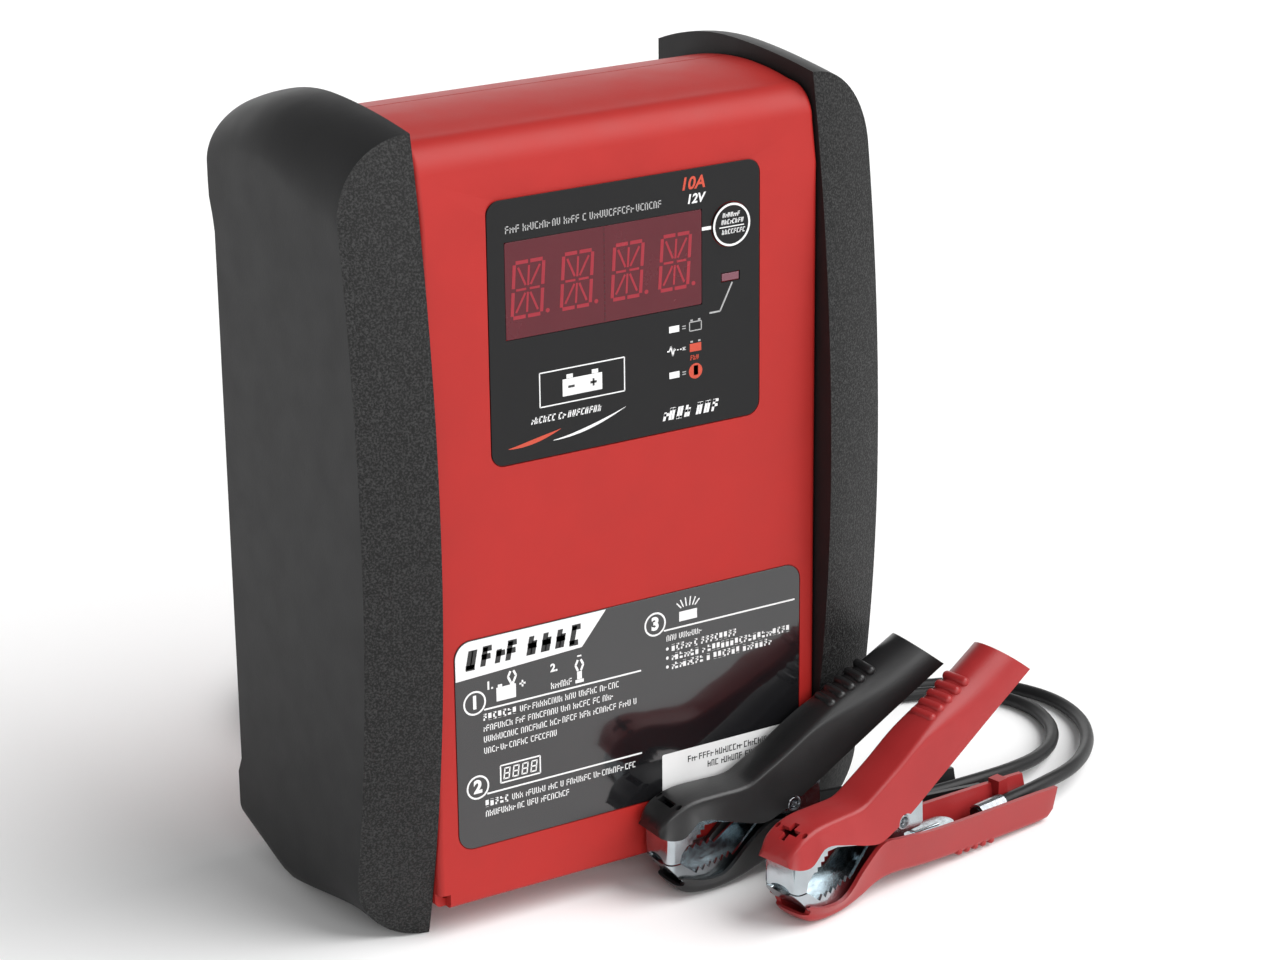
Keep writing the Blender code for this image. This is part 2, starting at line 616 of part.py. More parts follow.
def channel_ring(x, ridge, edge, half_ridge, half_edge, crown=0.5):
    """One cross-section of a handle, from one edge over the ridge side to the other edge."""
    shoulder = edge + (ridge - edge) * 0.86
    lean = TAIL_LEAN * max(0.0, (x - 40) / 54) if ridge > edge else 0.0
    ring = [
        (-half_edge, edge), (-(half_edge * 0.55 + half_ridge * 0.45), edge + (ridge - edge) * 0.5),
        (-half_ridge, shoulder), (-half_ridge * 0.72, ridge),
        (0.0, ridge + crown * (1 if ridge > edge else -1)),
        (half_ridge * 0.72, ridge), (half_ridge, shoulder),
        (half_edge * 0.55 + half_ridge * 0.45, edge + (ridge - edge) * 0.5), (half_edge, edge),
    ]
    return [Vector((x + lean * (ridge - z) / (ridge - edge), y, z)) * MM for y, z in ring]


def handle_shell(name, stations, look, first_hollow):
    """A channel handle: the outer form less an inner one that comes out at its open side and at its tail."""
    shell = loft(name, [channel_ring(*station) for station in stations], look)
    wall = HANDLE_WALL
    rings = []
    for x, ridge, edge, half_ridge, half_edge in stations[first_hollow:]:
        way = 1 if ridge > edge else -1
        rings.append((x, ridge - way * (wall + 0.5), edge - way * 4, half_ridge - wall * 0.8,
                      half_edge - wall))
    rings[0] = (rings[0][0] - 1.2, *rings[0][1:])
    x, ridge, edge, half_ridge, half_edge = rings[-1]
    before = rings[-2]
    slope = 3.0 / (x - before[0])
    rings.append((x + 3, ridge + (ridge - before[1]) * slope, edge + (edge - before[2]) * slope,
                  half_ridge, half_edge))
    hollow = loft(f"{name}_hollow", [channel_ring(*ring) for ring in rings], smooth=False)
    return cut(shell, hollow)


def upper_handle(name, look):
    shell = handle_shell(name, UPPER_STATIONS, look, 1)
    for side in (-1, 1):
        start = Vector((CLAMP_PIVOT.x, side * 6.5 * MM, CLAMP_PIVOT.z))
        cut(shell, rod(f"{name}_rivet_room_{side}", start, (0, side, 0), 5 * MM, 2.7 * MM))
    for i in range(5):
        x = 63 + 3.5 * i
        z = 50.1 + (x - 63) * 0.55
        rib = box(f"{name}_rib_{i}", (-0.8 * MM, -4.2 * MM, -1.2 * MM), (0.8 * MM, 4.2 * MM, 0.8 * MM))
        join(shell, place(rib, Matrix.Translation(Vector((x, 0, z)) * MM) @ Matrix.Rotation(-0.54, 4, "Y")))
    return shell


def lower_handle(name, look):
    shell = handle_shell(name, LOWER_STATIONS, look, 1)
    return join(shell, box(f"{name}_tab", (102 * MM, 3.6 * MM, 8 * MM), (106 * MM, 7.9 * MM, 14 * MM)))


def toothed(points, start, end, count, height):
    """Adds a row of triangular teeth from start to end to an outline."""
    (x0, z0), (x1, z1) = start, end
    along = math.hypot(x1 - x0, z1 - z0)
    nx, nz = -(z1 - z0) / along * height, (x1 - x0) / along * height
    for i in range(count):
        near, peak = i / count, (i + 0.5) / count
        points.append((x0 + (x1 - x0) * near, z0 + (z1 - z0) * near))
        points.append((x0 + (x1 - x0) * peak + nx, z0 + (z1 - z0) * peak + nz))
    points.append((x1, z1))


def arc_points(cx, cz, radius, first, last, count):
    angles = [math.radians(first + (last - first) * i / (count - 1)) for i in range(count)]
    return [(cx + radius * math.cos(a), cz + radius * math.sin(a)) for a in angles]


def side_prism(name, outline, half_width, look=None):
    """A clamp part's side outline of (x, z) in millimetres, spread across the clamp."""
    flat = [(x * MM, z * MM) for x, z in outline]
    return prism(name, flat, (0, half_width * MM, 0), (1, 0, 0), (0, 0, 1), 2 * half_width * MM, look)


def pivot_hole(name):
    start = CLAMP_PIVOT - Vector((0, 12 * MM, 0))
    return rod(f"{name}_pivot_hole", start, (0, 1, 0), 24 * MM, PIVOT_HOLE)


def upper_jaw(name, look):
    """The upper jaw: a folded channel with a front plate, toothed cheeks and ears on the pivot."""
    outline = [(3.3, 12.3), (7.0, 12.3), (7.6, 15.0)]
    toothed(outline, (10.0, 17.6), (15.5, 22.6), 3, -0.9)
    outline += [(20.0, 22.4), (30.0, 19.4), (37.0, 17.2)]
    outline += arc_points(CLAMP_PIVOT.x / MM, CLAMP_PIVOT.z / MM, 5.4, 220, 280, 5)
    outline += [(56.6, 16.9), (57.8, 18.0), (57.4, 27.0), (60.0, 38.0), (58.8, 41.2), (46.2, 34.4),
                (37.0, 29.2), (31.0, 27.2), (22.0, 26.9), (13.0, 26.7), (8.0, 25.0), (5.6, 23.0), (3.3, 20.0)]
    jaw = side_prism(name, outline, UPPER_JAW_HALF, look)
    hollow = [(3.3 + JAW_SHEET, 8.0), (70.0, 8.0), (70.0, 46.4), (46.7, 33.6), (37.4, 28.2), (31.0, 26.2),
              (22.0, 25.9), (13.2, 25.7), (8.5, 24.1), (6.3, 22.4), (4.3, 19.7)]
    cut(jaw, side_prism(f"{name}_hollow", hollow, UPPER_JAW_HALF - JAW_SHEET))
    return cut(jaw, pivot_hole(name))


def lower_jaw(name, look):
    """The lower jaw: the same channel turned over, with ears inside the upper one's and a flat tang."""
    outline = [(10.2, 5.2), (14.0, 3.9), (22.0, 3.9), (29.4, 5.6), (37.0, 7.9), (44.0, 8.2), (52.0, 7.6)]
    outline += arc_points(CLAMP_PIVOT.x / MM, CLAMP_PIVOT.z / MM, 5.0, -40, 160, 9)
    outline += [(36.0, 17.4), (30.6, 13.0)]
    toothed(outline, (26.4, 9.6), (12.8, 7.6), 5, -1.4)
    outline += [(7.6, 11.7), (3.2, 11.7), (5.0, 8.2), (9.6, 8.1)]
    jaw = side_prism(name, outline, LOWER_JAW_HALF, look)
    hollow = [(6.0, 9.1), (10.5, 9.0), (11.0, 6.0), (14.4, 4.9), (21.8, 4.9), (29.0, 6.6), (36.8, 8.9),
              (44.0, 9.2), (60.0, 8.4), (60.0, 30.0), (4.8, 30.0), (4.8, 11.0)]
    cut(jaw, side_prism(f"{name}_hollow", hollow, LOWER_JAW_HALF - JAW_SHEET))
    join(jaw, side_prism(f"{name}_tang", [(45.0, 12.0), (76.0, 10.4), (76.0, 11.3), (45.0, 12.9)], 3.6))
    return cut(jaw, pivot_hole(name))


def pivot_rivet(name, look):
    start = CLAMP_PIVOT - Vector((0, 6.0 * MM, 0))
    rivet = rod(name, start, (0, 1, 0), 12 * MM, 1.45 * MM, look)
    for side in (-1, 1):
        base = CLAMP_PIVOT + Vector((0, side * 5.6 * MM, 0))
        join(rivet, rod(f"{name}_head_{side}", base, (0, side, 0), 1.8 * MM, 2.3 * MM, tip=1.8 * MM))
    return rivet


def torsion_spring(name, look):
    """Wire wound around the rivet, with a leg towards the tail in each handle."""
    centre_x, centre_z, radius = CLAMP_PIVOT.x / MM, CLAMP_PIVOT.z / MM, 3.0
    points = [(68.0, -2.2, 12.5), (58.0, -2.2, 13.0)]
    turns, first, last = 2, -60, 120
    count = 12 * turns + 7
    sweep = 360 * turns + last - first
    for i in range(count):
        share = i / (count - 1)
        angle = math.radians(first + sweep * share)
        points.append((centre_x + radius * math.cos(angle), -2.2 + 4.4 * share,
                       centre_z + radius * math.sin(angle)))
    points += [(52.0, 2.2, 30.4), (62.0, 2.2, 36.2)]
    return wire(name, [Vector(point) * MM for point in points], 0.6 * MM, look)


def wire(name, points, radius, look, resolution=2):
    """A round wire or cord through points, with filled ends."""
    curve = bpy.data.curves.new(name, "CURVE")
    curve.dimensions = "3D"
    curve.bevel_depth = radius
    curve.bevel_resolution = resolution
    curve.use_fill_caps = True
    spline = curve.splines.new("POLY")
    spline.points.add(len(points) - 1)
    for target, point in zip(spline.points, points):
        target.co = (*point, 1.0)
    return finish_object(bpy.data.objects.new(name, curve), look)


def cable_crimp(name, look):
    """The crimped sleeve on the end of the lead's copper, held in the lower handle."""
    sleeve = rod(name, Vector((88, 0, 8.9)) * MM, (1, 0, 0), 11 * MM, 2.9 * MM, look, sides=16)
    cut(sleeve, rod(f"{name}_way", Vector((87, 0, 8.9)) * MM, (1, 0, 0), 13 * MM, 2.3 * MM, sides=16))
    return sleeve


def clamp(pole, colour):
    """One battery clamp. Its upper half is parented to an empty on the hinge."""
    frame = Matrix.Translation(CLAMPS[pole]["nose"]) @ Matrix.Rotation(CLAMPS[pole]["turn"], 4, "Z")
    plastic, zinc = (colour, 0.4), (ZINC, 0.28, 1.0)
    before = set(bpy.data.objects)
    upper_handle(f"{pole}_upper_handle", plastic)
    upper_jaw(f"{pole}_upper_jaw", zinc)
    lower_handle(f"{pole}_lower_handle", plastic)
    lower_jaw(f"{pole}_lower_jaw", zinc)
    pivot_rivet(f"{pole}_pivot_rivet", zinc)
    torsion_spring(f"{pole}_torsion_spring", zinc)
    cable_crimp(f"{pole}_cable_crimp", (COPPER, 0.4, 1.0))
    hinge = bpy.data.objects.new(f"{pole}_hinge", None)
    PARTS.objects.link(hinge)
    hinge.matrix_world = frame @ Matrix.Translation(CLAMP_PIVOT)
    for obj in sorted(set(bpy.data.objects) - before - {hinge}, key=lambda item: item.name):
        obj.matrix_world = frame @ obj.matrix_world
        if obj.name in (f"{pole}_upper_handle", f"{pole}_upper_jaw"):
            obj.parent = hinge
            obj.matrix_parent_inverse = hinge.matrix_world.inverted()


# ---------------------------------------------------------------- output cord


def smooth_route(points, spacing):
    """Points a spacing apart along a smooth curve through the given ones."""
    points = [Vector(point) for point in points]
    padded = [2 * points[0] - points[1], *points, 2 * points[-1] - points[-2]]
    dense = []
    for a, b, c, d in zip(padded, padded[1:], padded[2:], padded[3:]):
        for step in range(24):
            t = step / 24
            dense.append(0.5 * (2 * b + (c - a) * t + (2 * a - 5 * b + 4 * c - d) * t ** 2
                                + (3 * b - a - 3 * c + d) * t ** 3))
    dense.append(points[-1])
    lengths = [0.0]
    for a, b in zip(dense, dense[1:]):
        lengths.append(lengths[-1] + (b - a).length)
    count = max(2, round(lengths[-1] / spacing))
    route, at = [], 0
    for i in range(count + 1):
        want = lengths[-1] * i / count
        while at < len(dense) - 2 and lengths[at + 1] < want:
            at += 1
        share = (want - lengths[at]) / (lengths[at + 1] - lengths[at])
        route.append(dense[at].lerp(dense[at + 1], share))
    return route


CORD_TO_COIL = (
    (35.0, 62.0, 30.0), (35.4, 72.0, 29.0), (37.8, 84.0, 24.6), (42.4, 95.0, 20.4), (47.6, 104.0, 18.4),
    (52.0, 114.0, 18.1),
)
CORD_FROM_COIL = (
    (2.5, 66.2, 3.6), (14.0, 65.4, 3.6), (28.0, 66.4, 3.6), (42.0, 69.2, 3.6), (56.0, 70.6, 3.6),
    (65.0, 69.5, 3.6), (71.2, 67.3, 3.6),
)
SPLITTER = ((72.3, 66.7, 4.2), (98.0, 56.0, 4.2))
LEADS = {
    "positive": (
        (99.8, 58.0, 2.6), (109.0, 53.6, 2.3), (122.0, 45.4, 2.3), (138.0, 38.6, 2.3), (156.0, 34.4, 2.3),
        (172.0, 27.6, 2.3), (184.0, 15.4, 2.3), (189.2, 0.0, 2.3), (187.2, -16.0, 2.5), (178.6, -31.6, 3.6),
        (166.0, -45.6, 5.6), (151.0, -57.0, 7.8), (134.0, -63.6, 8.9), (118.0, -67.1, 8.9),
        (103.7, -69.9, 8.9),
    ),
    "negative": (
        (98.0, 53.4, 2.6), (107.0, 47.6, 2.3), (119.0, 39.9, 2.3), (136.0, 33.0, 2.3), (153.0, 28.9, 2.3),
        (167.0, 21.6, 2.3), (176.0, 11.4, 2.3), (179.0, -2.6, 2.3), (175.0, -17.0, 2.5), (165.4, -29.6, 3.4),
        (152.0, -39.4, 5.0), (136.0, -46.4, 7.4), (118.0, -49.9, 8.9),
        (102.0, -49.9, 8.9), (86.4, -49.5, 8.9),
    ),
}


def metres(points):
    return [Vector(point) * MM for point in points]


def output_cord():
    look = (BLACK, 0.5)
    wire("dc_cord_to_coil", smooth_route(metres(CORD_TO_COIL), 9 * MM), CORD_RADIUS, look, 3)
    wire("dc_cord_from_coil", smooth_route(metres(CORD_FROM_COIL), 14 * MM), CORD_RADIUS, look, 3)
    for pole, points in LEADS.items():
        wire(f"{pole}_lead", smooth_route(metres(points), 10 * MM), LEAD_RADIUS, look, 2)
    ring = rod("dc_cord_coil", COIL_CENTRE, (0, 0, 1), COIL_HEIGHT, COIL_OUTER, look, sides=40)
    cut(ring, rod("coil_way", COIL_CENTRE - Vector((0, 0, MM)), (0, 0, 1), COIL_HEIGHT + 2 * MM, COIL_INNER,
                  sides=40))
    start, end = metres(SPLITTER)
    sides = (Vector((0.38, 0.92, 0)), Vector((0, 0, 1)))
    rings = []
    for share, wide, high in ((0, 4.0, 4.0), (0.3, 4.6, 4.2), (0.75, 5.4, 4.0), (1, 5.0, 3.4)):
        centre = start.lerp(end, share)
        ring_points = []
        for step in range(16):
            angle = math.tau * step / 16
            offset = sides[0] * (wide * math.cos(angle)) + sides[1] * (high * math.sin(angle))
            ring_points.append(centre + offset * MM)
        rings.append(ring_points)
    loft("lead_splitter", rings, look)


def main():
    front_shell()
    rear_cover()
    rear_screws()
    cap_screws()
    side_cap("left_side_cap", -1)
    side_cap("right_side_cap", 1)
    display_panel()
    display_electronics(selector())
    power_electronics()
    glands()
    clamp("positive", RED)
    clamp("negative", BLACK)
    output_cord()


clear_scene()
PARTS = new_collection("car_battery_charger")
CUTTERS = new_collection("cutters")
main()
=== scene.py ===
"""The looks of a car battery charger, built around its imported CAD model.

Everything is in metres, in the CAD model's frame: +Z up, the display faces -Y, and the origin is in the
middle of the surface that the charger stands on.
"""

import math
import random

import bmesh
import bpy
from mathutils import Matrix, Vector


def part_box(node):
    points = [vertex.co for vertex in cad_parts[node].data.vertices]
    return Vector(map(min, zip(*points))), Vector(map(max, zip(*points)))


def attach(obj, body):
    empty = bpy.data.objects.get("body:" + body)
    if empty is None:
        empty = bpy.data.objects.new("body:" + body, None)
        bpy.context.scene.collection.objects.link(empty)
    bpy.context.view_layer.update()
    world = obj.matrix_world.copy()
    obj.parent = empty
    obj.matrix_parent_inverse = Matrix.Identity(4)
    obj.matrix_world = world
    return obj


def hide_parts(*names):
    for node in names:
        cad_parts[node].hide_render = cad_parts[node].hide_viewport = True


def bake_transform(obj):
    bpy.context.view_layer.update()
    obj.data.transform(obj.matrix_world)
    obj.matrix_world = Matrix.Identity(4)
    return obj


MM = 0.001

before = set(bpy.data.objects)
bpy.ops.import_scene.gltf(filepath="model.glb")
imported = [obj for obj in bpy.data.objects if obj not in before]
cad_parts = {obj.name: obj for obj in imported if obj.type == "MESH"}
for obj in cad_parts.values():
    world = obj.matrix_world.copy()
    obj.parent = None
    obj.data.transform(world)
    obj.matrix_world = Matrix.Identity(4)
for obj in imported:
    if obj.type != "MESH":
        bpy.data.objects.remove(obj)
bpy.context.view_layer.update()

CHARGER = "charger"
BUTTON = "mode_button"
UPPER_HALF = {pole: f"{pole}_clamp_upper_half" for pole in ("positive", "negative")}


# ---------------------------------------------------------------- camera and light

CAMERA_PLACE = Vector((-0.49594, -0.83439, 0.45680))
CAMERA_BACK = Vector((-0.5019, -0.7991, 0.3310))
CAMERA_UP = Vector((0.184, 0.275, 0.944))
CAMERA_LENS = 97.87  # on a 36 mm sensor


def add_camera():
    data = bpy.data.cameras.new("camera")
    data.lens = CAMERA_LENS
    data.sensor_width = 36.0
    data.clip_start, data.clip_end = 0.05, 20.0
    back = CAMERA_BACK.normalized()
    right = CAMERA_UP.cross(back).normalized()
    up = back.cross(right)
    turn = Matrix((right, up, back)).transposed().to_4x4()
    camera = bpy.data.objects.new("camera", data)
    camera.matrix_world = Matrix.Translation(CAMERA_PLACE) @ turn
    bpy.context.scene.collection.objects.link(camera)
    bpy.context.scene.camera = camera


def add_softbox(name, place, target, size, power):
    data = bpy.data.lights.new(name, "AREA")
    data.shape = "RECTANGLE"
    data.size, data.size_y = size
    data.energy = power
    light = bpy.data.objects.new(name, data)
    aim = (Vector(target) - Vector(place)).to_track_quat("-Z", "Y")
    light.matrix_world = Matrix.Translation(place) @ aim.to_matrix().to_4x4()
    bpy.context.scene.collection.objects.link(light)


def grey(level):
    return level, level, level, 1.0


def add_world():
    """A white studio that is bright round the horizon and dim overhead."""
    world = bpy.data.worlds.new("studio")
    world.use_nodes = True
    nodes, links = world.node_tree.nodes, world.node_tree.links
    place = nodes.new("ShaderNodeTexCoord")
    split = nodes.new("ShaderNodeSeparateXYZ")
    links.new(place.outputs["Generated"], split.inputs["Vector"])
    shade_up = nodes.new("ShaderNodeValToRGB")
    shade_up.color_ramp.elements[0].color = grey(1.0)
    shade_up.color_ramp.elements[1].color = grey(0.20)
    shade_up.color_ramp.elements.new(0.5).color = grey(0.36)
    links.new(split.outputs["Z"], shade_up.inputs["Fac"])
    background = nodes["Background"]
    links.new(shade_up.outputs["Color"], background.inputs["Color"])
    background.inputs["Strength"].default_value = 0.80
    bpy.context.scene.world = world


def add_sun(towards, strength, spread):
    data = bpy.data.lights.new("sun", "SUN")
    data.energy = strength
    data.angle = math.radians(spread)
    light = bpy.data.objects.new("sun", data)
    light.matrix_world = Vector(towards).to_track_quat("Z", "Y").to_matrix().to_4x4()
    bpy.context.scene.collection.objects.link(light)


def add_studio():
    bpy.context.scene.view_settings.view_transform = "Standard"
    add_world()
    add_sun((0.50, -0.44, 0.75), 3.3, 55.0)
    add_softbox("front_box", (-0.35, -1.9, 0.75), (0.0, 0.0, 0.15), (1.6, 0.5), 14.0)
    add_softbox("back_box", (0.5, 1.9, 0.55), (0.0, 0.0, 0.2), (2.6, 0.8), 7.0)
    bm = bmesh.new()
    bmesh.ops.create_grid(bm, x_segments=1, y_segments=1, size=6.0)
    bmesh.ops.translate(bm, vec=(0, 0, -0.0002), verts=bm.verts)
    floor = mesh_object("floor", bm, plain_material("floor_paper", (0.93, 0.93, 0.93), 0.9))


# ---------------------------------------------------------------- materials

COARSE_SCALE, ROUGH_SPREAD = 90.0, 0.03  # the unevenness of moulded plastic: its size, and its range in gloss


def new_material(name):
    material = bpy.data.materials.new(name)
    material.use_nodes = True
    nodes = material.node_tree.nodes
    return material, nodes, material.node_tree.links, nodes["Principled BSDF"]


def plain_material(name, colour, roughness):
    material, _, _, shader = new_material(name)
    shader.inputs["Base Color"].default_value = (*colour, 1.0)
    shader.inputs["Roughness"].default_value = roughness
    return material


def noise(nodes, links, scale, detail=2.0, roughness=0.5):
    """The value of a noise texture in the object's own metres."""
    place = nodes.new("ShaderNodeTexCoord")
    texture = nodes.new("ShaderNodeTexNoise")
    texture.inputs["Scale"].default_value = scale
    texture.inputs["Detail"].default_value = detail
    texture.inputs["Roughness"].default_value = roughness
    links.new(place.outputs["Object"], texture.inputs["Vector"])
    return texture.outputs["Fac"]


def ramp(nodes, links, source, target, low, high, low_at=0.3, high_at=0.7):
    """Colours the shader's target socket from low to high as the source rises."""
    node = nodes.new("ShaderNodeValToRGB")
    node.color_ramp.elements[0].position = low_at
    node.color_ramp.elements[1].position = high_at
    node.color_ramp.elements[0].color = low
    node.color_ramp.elements[1].color = high
    links.new(source, node.inputs["Fac"])
    links.new(node.outputs["Color"], target)


def emboss(nodes, links, source, depth, *targets):
    """Raises the surface by the source, depth millimetres at most."""
    bump = nodes.new("ShaderNodeBump")
    bump.inputs["Distance"].default_value = depth * MM
    links.new(source, bump.inputs["Height"])
    for target in targets:
        links.new(bump.outputs["Normal"], target)


def moulded(name, colour, roughness, grain=1500.0, depth=0.04, mottle=0.06, gloss=0.35):
    """Moulded plastic or sheet: a fine grain in the surface, and a little unevenness in colour and gloss."""
    material, nodes, links, shader = new_material(name)
    uneven = noise(nodes, links, COARSE_SCALE, detail=4.0)
    low, high = [c * (1 - mottle) for c in colour], [min(1.0, c * (1 + mottle)) for c in colour]
    ramp(nodes, links, uneven, shader.inputs["Base Color"], (*low, 1.0), (*high, 1.0))
    ramp(nodes, links, uneven, shader.inputs["Roughness"], grey(roughness - ROUGH_SPREAD),
         grey(roughness + ROUGH_SPREAD))
    emboss(nodes, links, noise(nodes, links, grain, 3.0, 0.6), depth, shader.inputs["Normal"])
    shader.inputs["Specular IOR Level"].default_value = gloss
    shader.inputs["Coat Roughness"].default_value = 0.08
    return material


def plated(name, colour, roughness):
    """Plated metal, with a faintly cloudy colour and gloss."""
    material, nodes, links, shader = new_material(name)
    shader.inputs["Metallic"].default_value = 1.0
    cloud = noise(nodes, links, 160.0, detail=3.0)
    ramp(nodes, links, cloud, shader.inputs["Base Color"], (*[c * 0.86 for c in colour], 1.0), (*colour, 1.0))
    ramp(nodes, links, noise(nodes, links, 700.0), shader.inputs["Roughness"], grey(roughness * 0.7),
         grey(roughness * 1.35))
    emboss(nodes, links, cloud, 0.02, shader.inputs["Normal"])
    return material


def grained(name, low, high, roughness, scale, depth):
    """Coarsely grained plastic, whose small facets catch the light."""
    material, nodes, links, shader = new_material(name)
    speck = noise(nodes, links, scale, roughness=0.6)
    ramp(nodes, links, speck, shader.inputs["Base Color"], grey(low), grey(high), 0.44, 0.66)
    shader.inputs["Roughness"].default_value = roughness
    shader.inputs["Specular IOR Level"].default_value = 0.25
    emboss(nodes, links, speck, depth, shader.inputs["Normal"])
    return material


def label_film():
    """Glossy film that lies a little unevenly on the housing."""
    material, nodes, links, shader = new_material("label_film")
    ripple = noise(nodes, links, 30.0, detail=1.5)
    ramp(nodes, links, ripple, shader.inputs["Base Color"], (0.006, 0.006, 0.007, 1.0),
         (0.009, 0.009, 0.010, 1.0))
    shader.inputs["Roughness"].default_value = 0.09
    shader.inputs["Coat Weight"].default_value = 1.0
    shader.inputs["Coat Roughness"].default_value = 0.05
    emboss(nodes, links, ripple, 0.45, shader.inputs["Normal"], shader.inputs["Coat Normal"])
    return material


def make_materials():
    return {
        "housing": moulded("housing_red_plastic", (0.365, 0.016, 0.013), 0.50, 1600.0, 0.020, 0.03, 0.30),
        "cap": moulded("cap_charcoal_plastic", (0.0135, 0.0135, 0.014), 0.50, 1500.0, 0.03, 0.03, 0.22),
        "cap_grain": grained("cap_coarse_grain", 0.004, 0.034, 0.42, 1700.0, 0.16),
        "overlay": moulded("overlay_film", (0.0075, 0.0075, 0.008), 0.42, 2400.0, 0.006, 0.03, 0.25),
        "label": label_film(),
        "window": moulded("window_acrylic", (0.082, 0.006, 0.012), 0.25, 900.0, 0.002, 0.05, 0.38),
        "segment": moulded("digit_segments", (0.27, 0.008, 0.020), 0.25, 900.0, 0.002, 0.05, 0.5),
        "ink_red": moulded("dark_red_print", (0.045, 0.004, 0.007), 0.3, 900.0, 0.002, 0.05),
        "lens": moulded("status_lens", (0.16, 0.055, 0.075), 0.25, 900.0, 0.004, 0.05, 0.5),
        "white": moulded("white_print", (0.74, 0.74, 0.74), 0.5, 1800.0, 0.004, 0.03),
        "grey": moulded("grey_print", (0.36, 0.36, 0.36), 0.5, 1800.0, 0.004, 0.03),
        "orange": moulded("red_print", (0.50, 0.065, 0.035), 0.5, 1800.0, 0.004, 0.05),
        "ink": moulded("dark_print", (0.03, 0.03, 0.03), 0.5, 1800.0, 0.004, 0.05),
        "rubber": moulded("cord_sheath", (0.010, 0.010, 0.0105), 0.42, 900.0, 0.03, 0.08, 0.3),
        "clamp_red": moulded("clamp_red_plastic", (0.31, 0.020, 0.021), 0.36, 1400.0, 0.02, 0.05, 0.38),
        "clamp_black": moulded("clamp_black_plastic", (0.010, 0.010, 0.0105), 0.36, 1400.0, 0.03, 0.06,
                               0.45),
        "zinc": plated("zinc_plate", (0.50, 0.56, 0.59), 0.20),
        "zinc_dull": plated("zinc_dull_plate", (0.68, 0.69, 0.70), 0.36),
        "rivet": plated("rivet_plate", (0.36, 0.38, 0.40), 0.28),
        "copper": plated("copper", (0.72, 0.40, 0.25), 0.30),
        "aluminium": plated("aluminium", (0.76, 0.77, 0.78), 0.35),
        "board": moulded("circuit_board", (0.02, 0.13, 0.06), 0.35, 700.0, 0.02, 0.15),
        "black": moulded("black_component", (0.02, 0.02, 0.021), 0.45, 1500.0, 0.02, 0.08),
        "ferrite": moulded("ferrite", (0.035, 0.035, 0.04), 0.55, 900.0, 0.05, 0.10),
        "sleeve": moulded("capacitor_sleeve", (0.02, 0.03, 0.09), 0.30, 900.0, 0.01, 0.05),
    }


# ---------------------------------------------------------------- mesh helpers


def link(obj):
    bpy.context.scene.collection.objects.link(obj)
    return obj


def mesh_object(name, bm, *materials, smooth=False, angle=35.0):
    if bm.calc_volume(signed=True) < 0:
        bmesh.ops.reverse_faces(bm, faces=bm.faces)
    mesh = bpy.data.meshes.new(name)
    bm.to_mesh(mesh)
    bm.free()
    for material in materials:
        mesh.materials.append(material)
    if smooth:
        mesh.shade_smooth()
        mesh.set_sharp_from_angle(angle=math.radians(angle))
    return link(bpy.data.objects.new(name, mesh))


def box_mesh(bm, low, high, matrix=None):
    made = bmesh.ops.create_cube(bm, size=1.0)["verts"]
    low, high = Vector(low), Vector(high)
    bmesh.ops.scale(bm, vec=high - low, verts=made)
    bmesh.ops.translate(bm, vec=(low + high) / 2, verts=made)
    if matrix is not None:
        bmesh.ops.transform(bm, matrix=matrix, verts=made)
    return made


def rod_mesh(bm, start, direction, length, radius, tip=None, sides=32):
    made = bmesh.ops.create_cone(bm, cap_ends=True, segments=sides, radius1=radius,
                                 radius2=radius if tip is None else tip, depth=length)["verts"]
    turn = Vector(direction).to_track_quat("Z", "Y").to_matrix().to_4x4()
    shift = Matrix.Translation((0, 0, length / 2))
    bmesh.ops.transform(bm, matrix=Matrix.Translation(start) @ turn @ shift, verts=made)
    return made


def prism_mesh(bm, outline, origin, across, up, depth):
    """Adds a flat outline of (u, v) points, given depth along across x up."""
    across, up = Vector(across), Vector(up)
    verts = [bm.verts.new(Vector(origin) + across * u + up * v) for u, v in outline]
    face = bm.faces.new(verts)
    made = bmesh.ops.extrude_face_region(bm, geom=[face], use_keep_orig=True)
    moved = [item for item in made["geom"] if isinstance(item, bmesh.types.BMVert)]
    bmesh.ops.translate(bm, vec=across.cross(up) * depth, verts=moved)
    bmesh.ops.recalc_face_normals(bm, faces=list({f for v in verts + moved for f in v.link_faces}))


def helper(name, build):
    """A cutter: a mesh that build() fills in, removed again once it has been used."""
    bm = bmesh.new()
    build(bm)
    return mesh_object(name, bm)


def apply_modifiers(obj):
    graph = bpy.context.evaluated_depsgraph_get()
    mesh = bpy.data.meshes.new_from_object(obj.evaluated_get(graph))
    old, obj.data = obj.data, mesh
    obj.modifiers.clear()
    bpy.data.meshes.remove(old)
    return obj


def carve(obj, *cutters, operation="DIFFERENCE"):
    for cutter in cutters:
        modifier = obj.modifiers.new(cutter.name, "BOOLEAN")
        modifier.operation, modifier.solver, modifier.object = operation, "EXACT", cutter
    apply_modifiers(obj)
    for cutter in cutters:
        bpy.data.objects.remove(cutter)
    return obj


def soften(obj, width, segments=3, angle=30.0):
    modifier = obj.modifiers.new("soften", "BEVEL")
    modifier.width, modifier.segments = width, segments
    modifier.limit_method, modifier.angle_limit = "ANGLE", math.radians(angle)
    modifier.harden_normals = True
    modifier.use_clamp_overlap = True
    return obj


def shade(obj, angle=35.0):
    """Smooth shading that keeps large faces flat."""
    obj.data.shade_smooth()
    obj.data.set_sharp_from_angle(angle=math.radians(angle))
    modifier = obj.modifiers.new("weigh", "WEIGHTED_NORMAL")
    modifier.keep_sharp = True
    modifier.weight = 90
    return obj


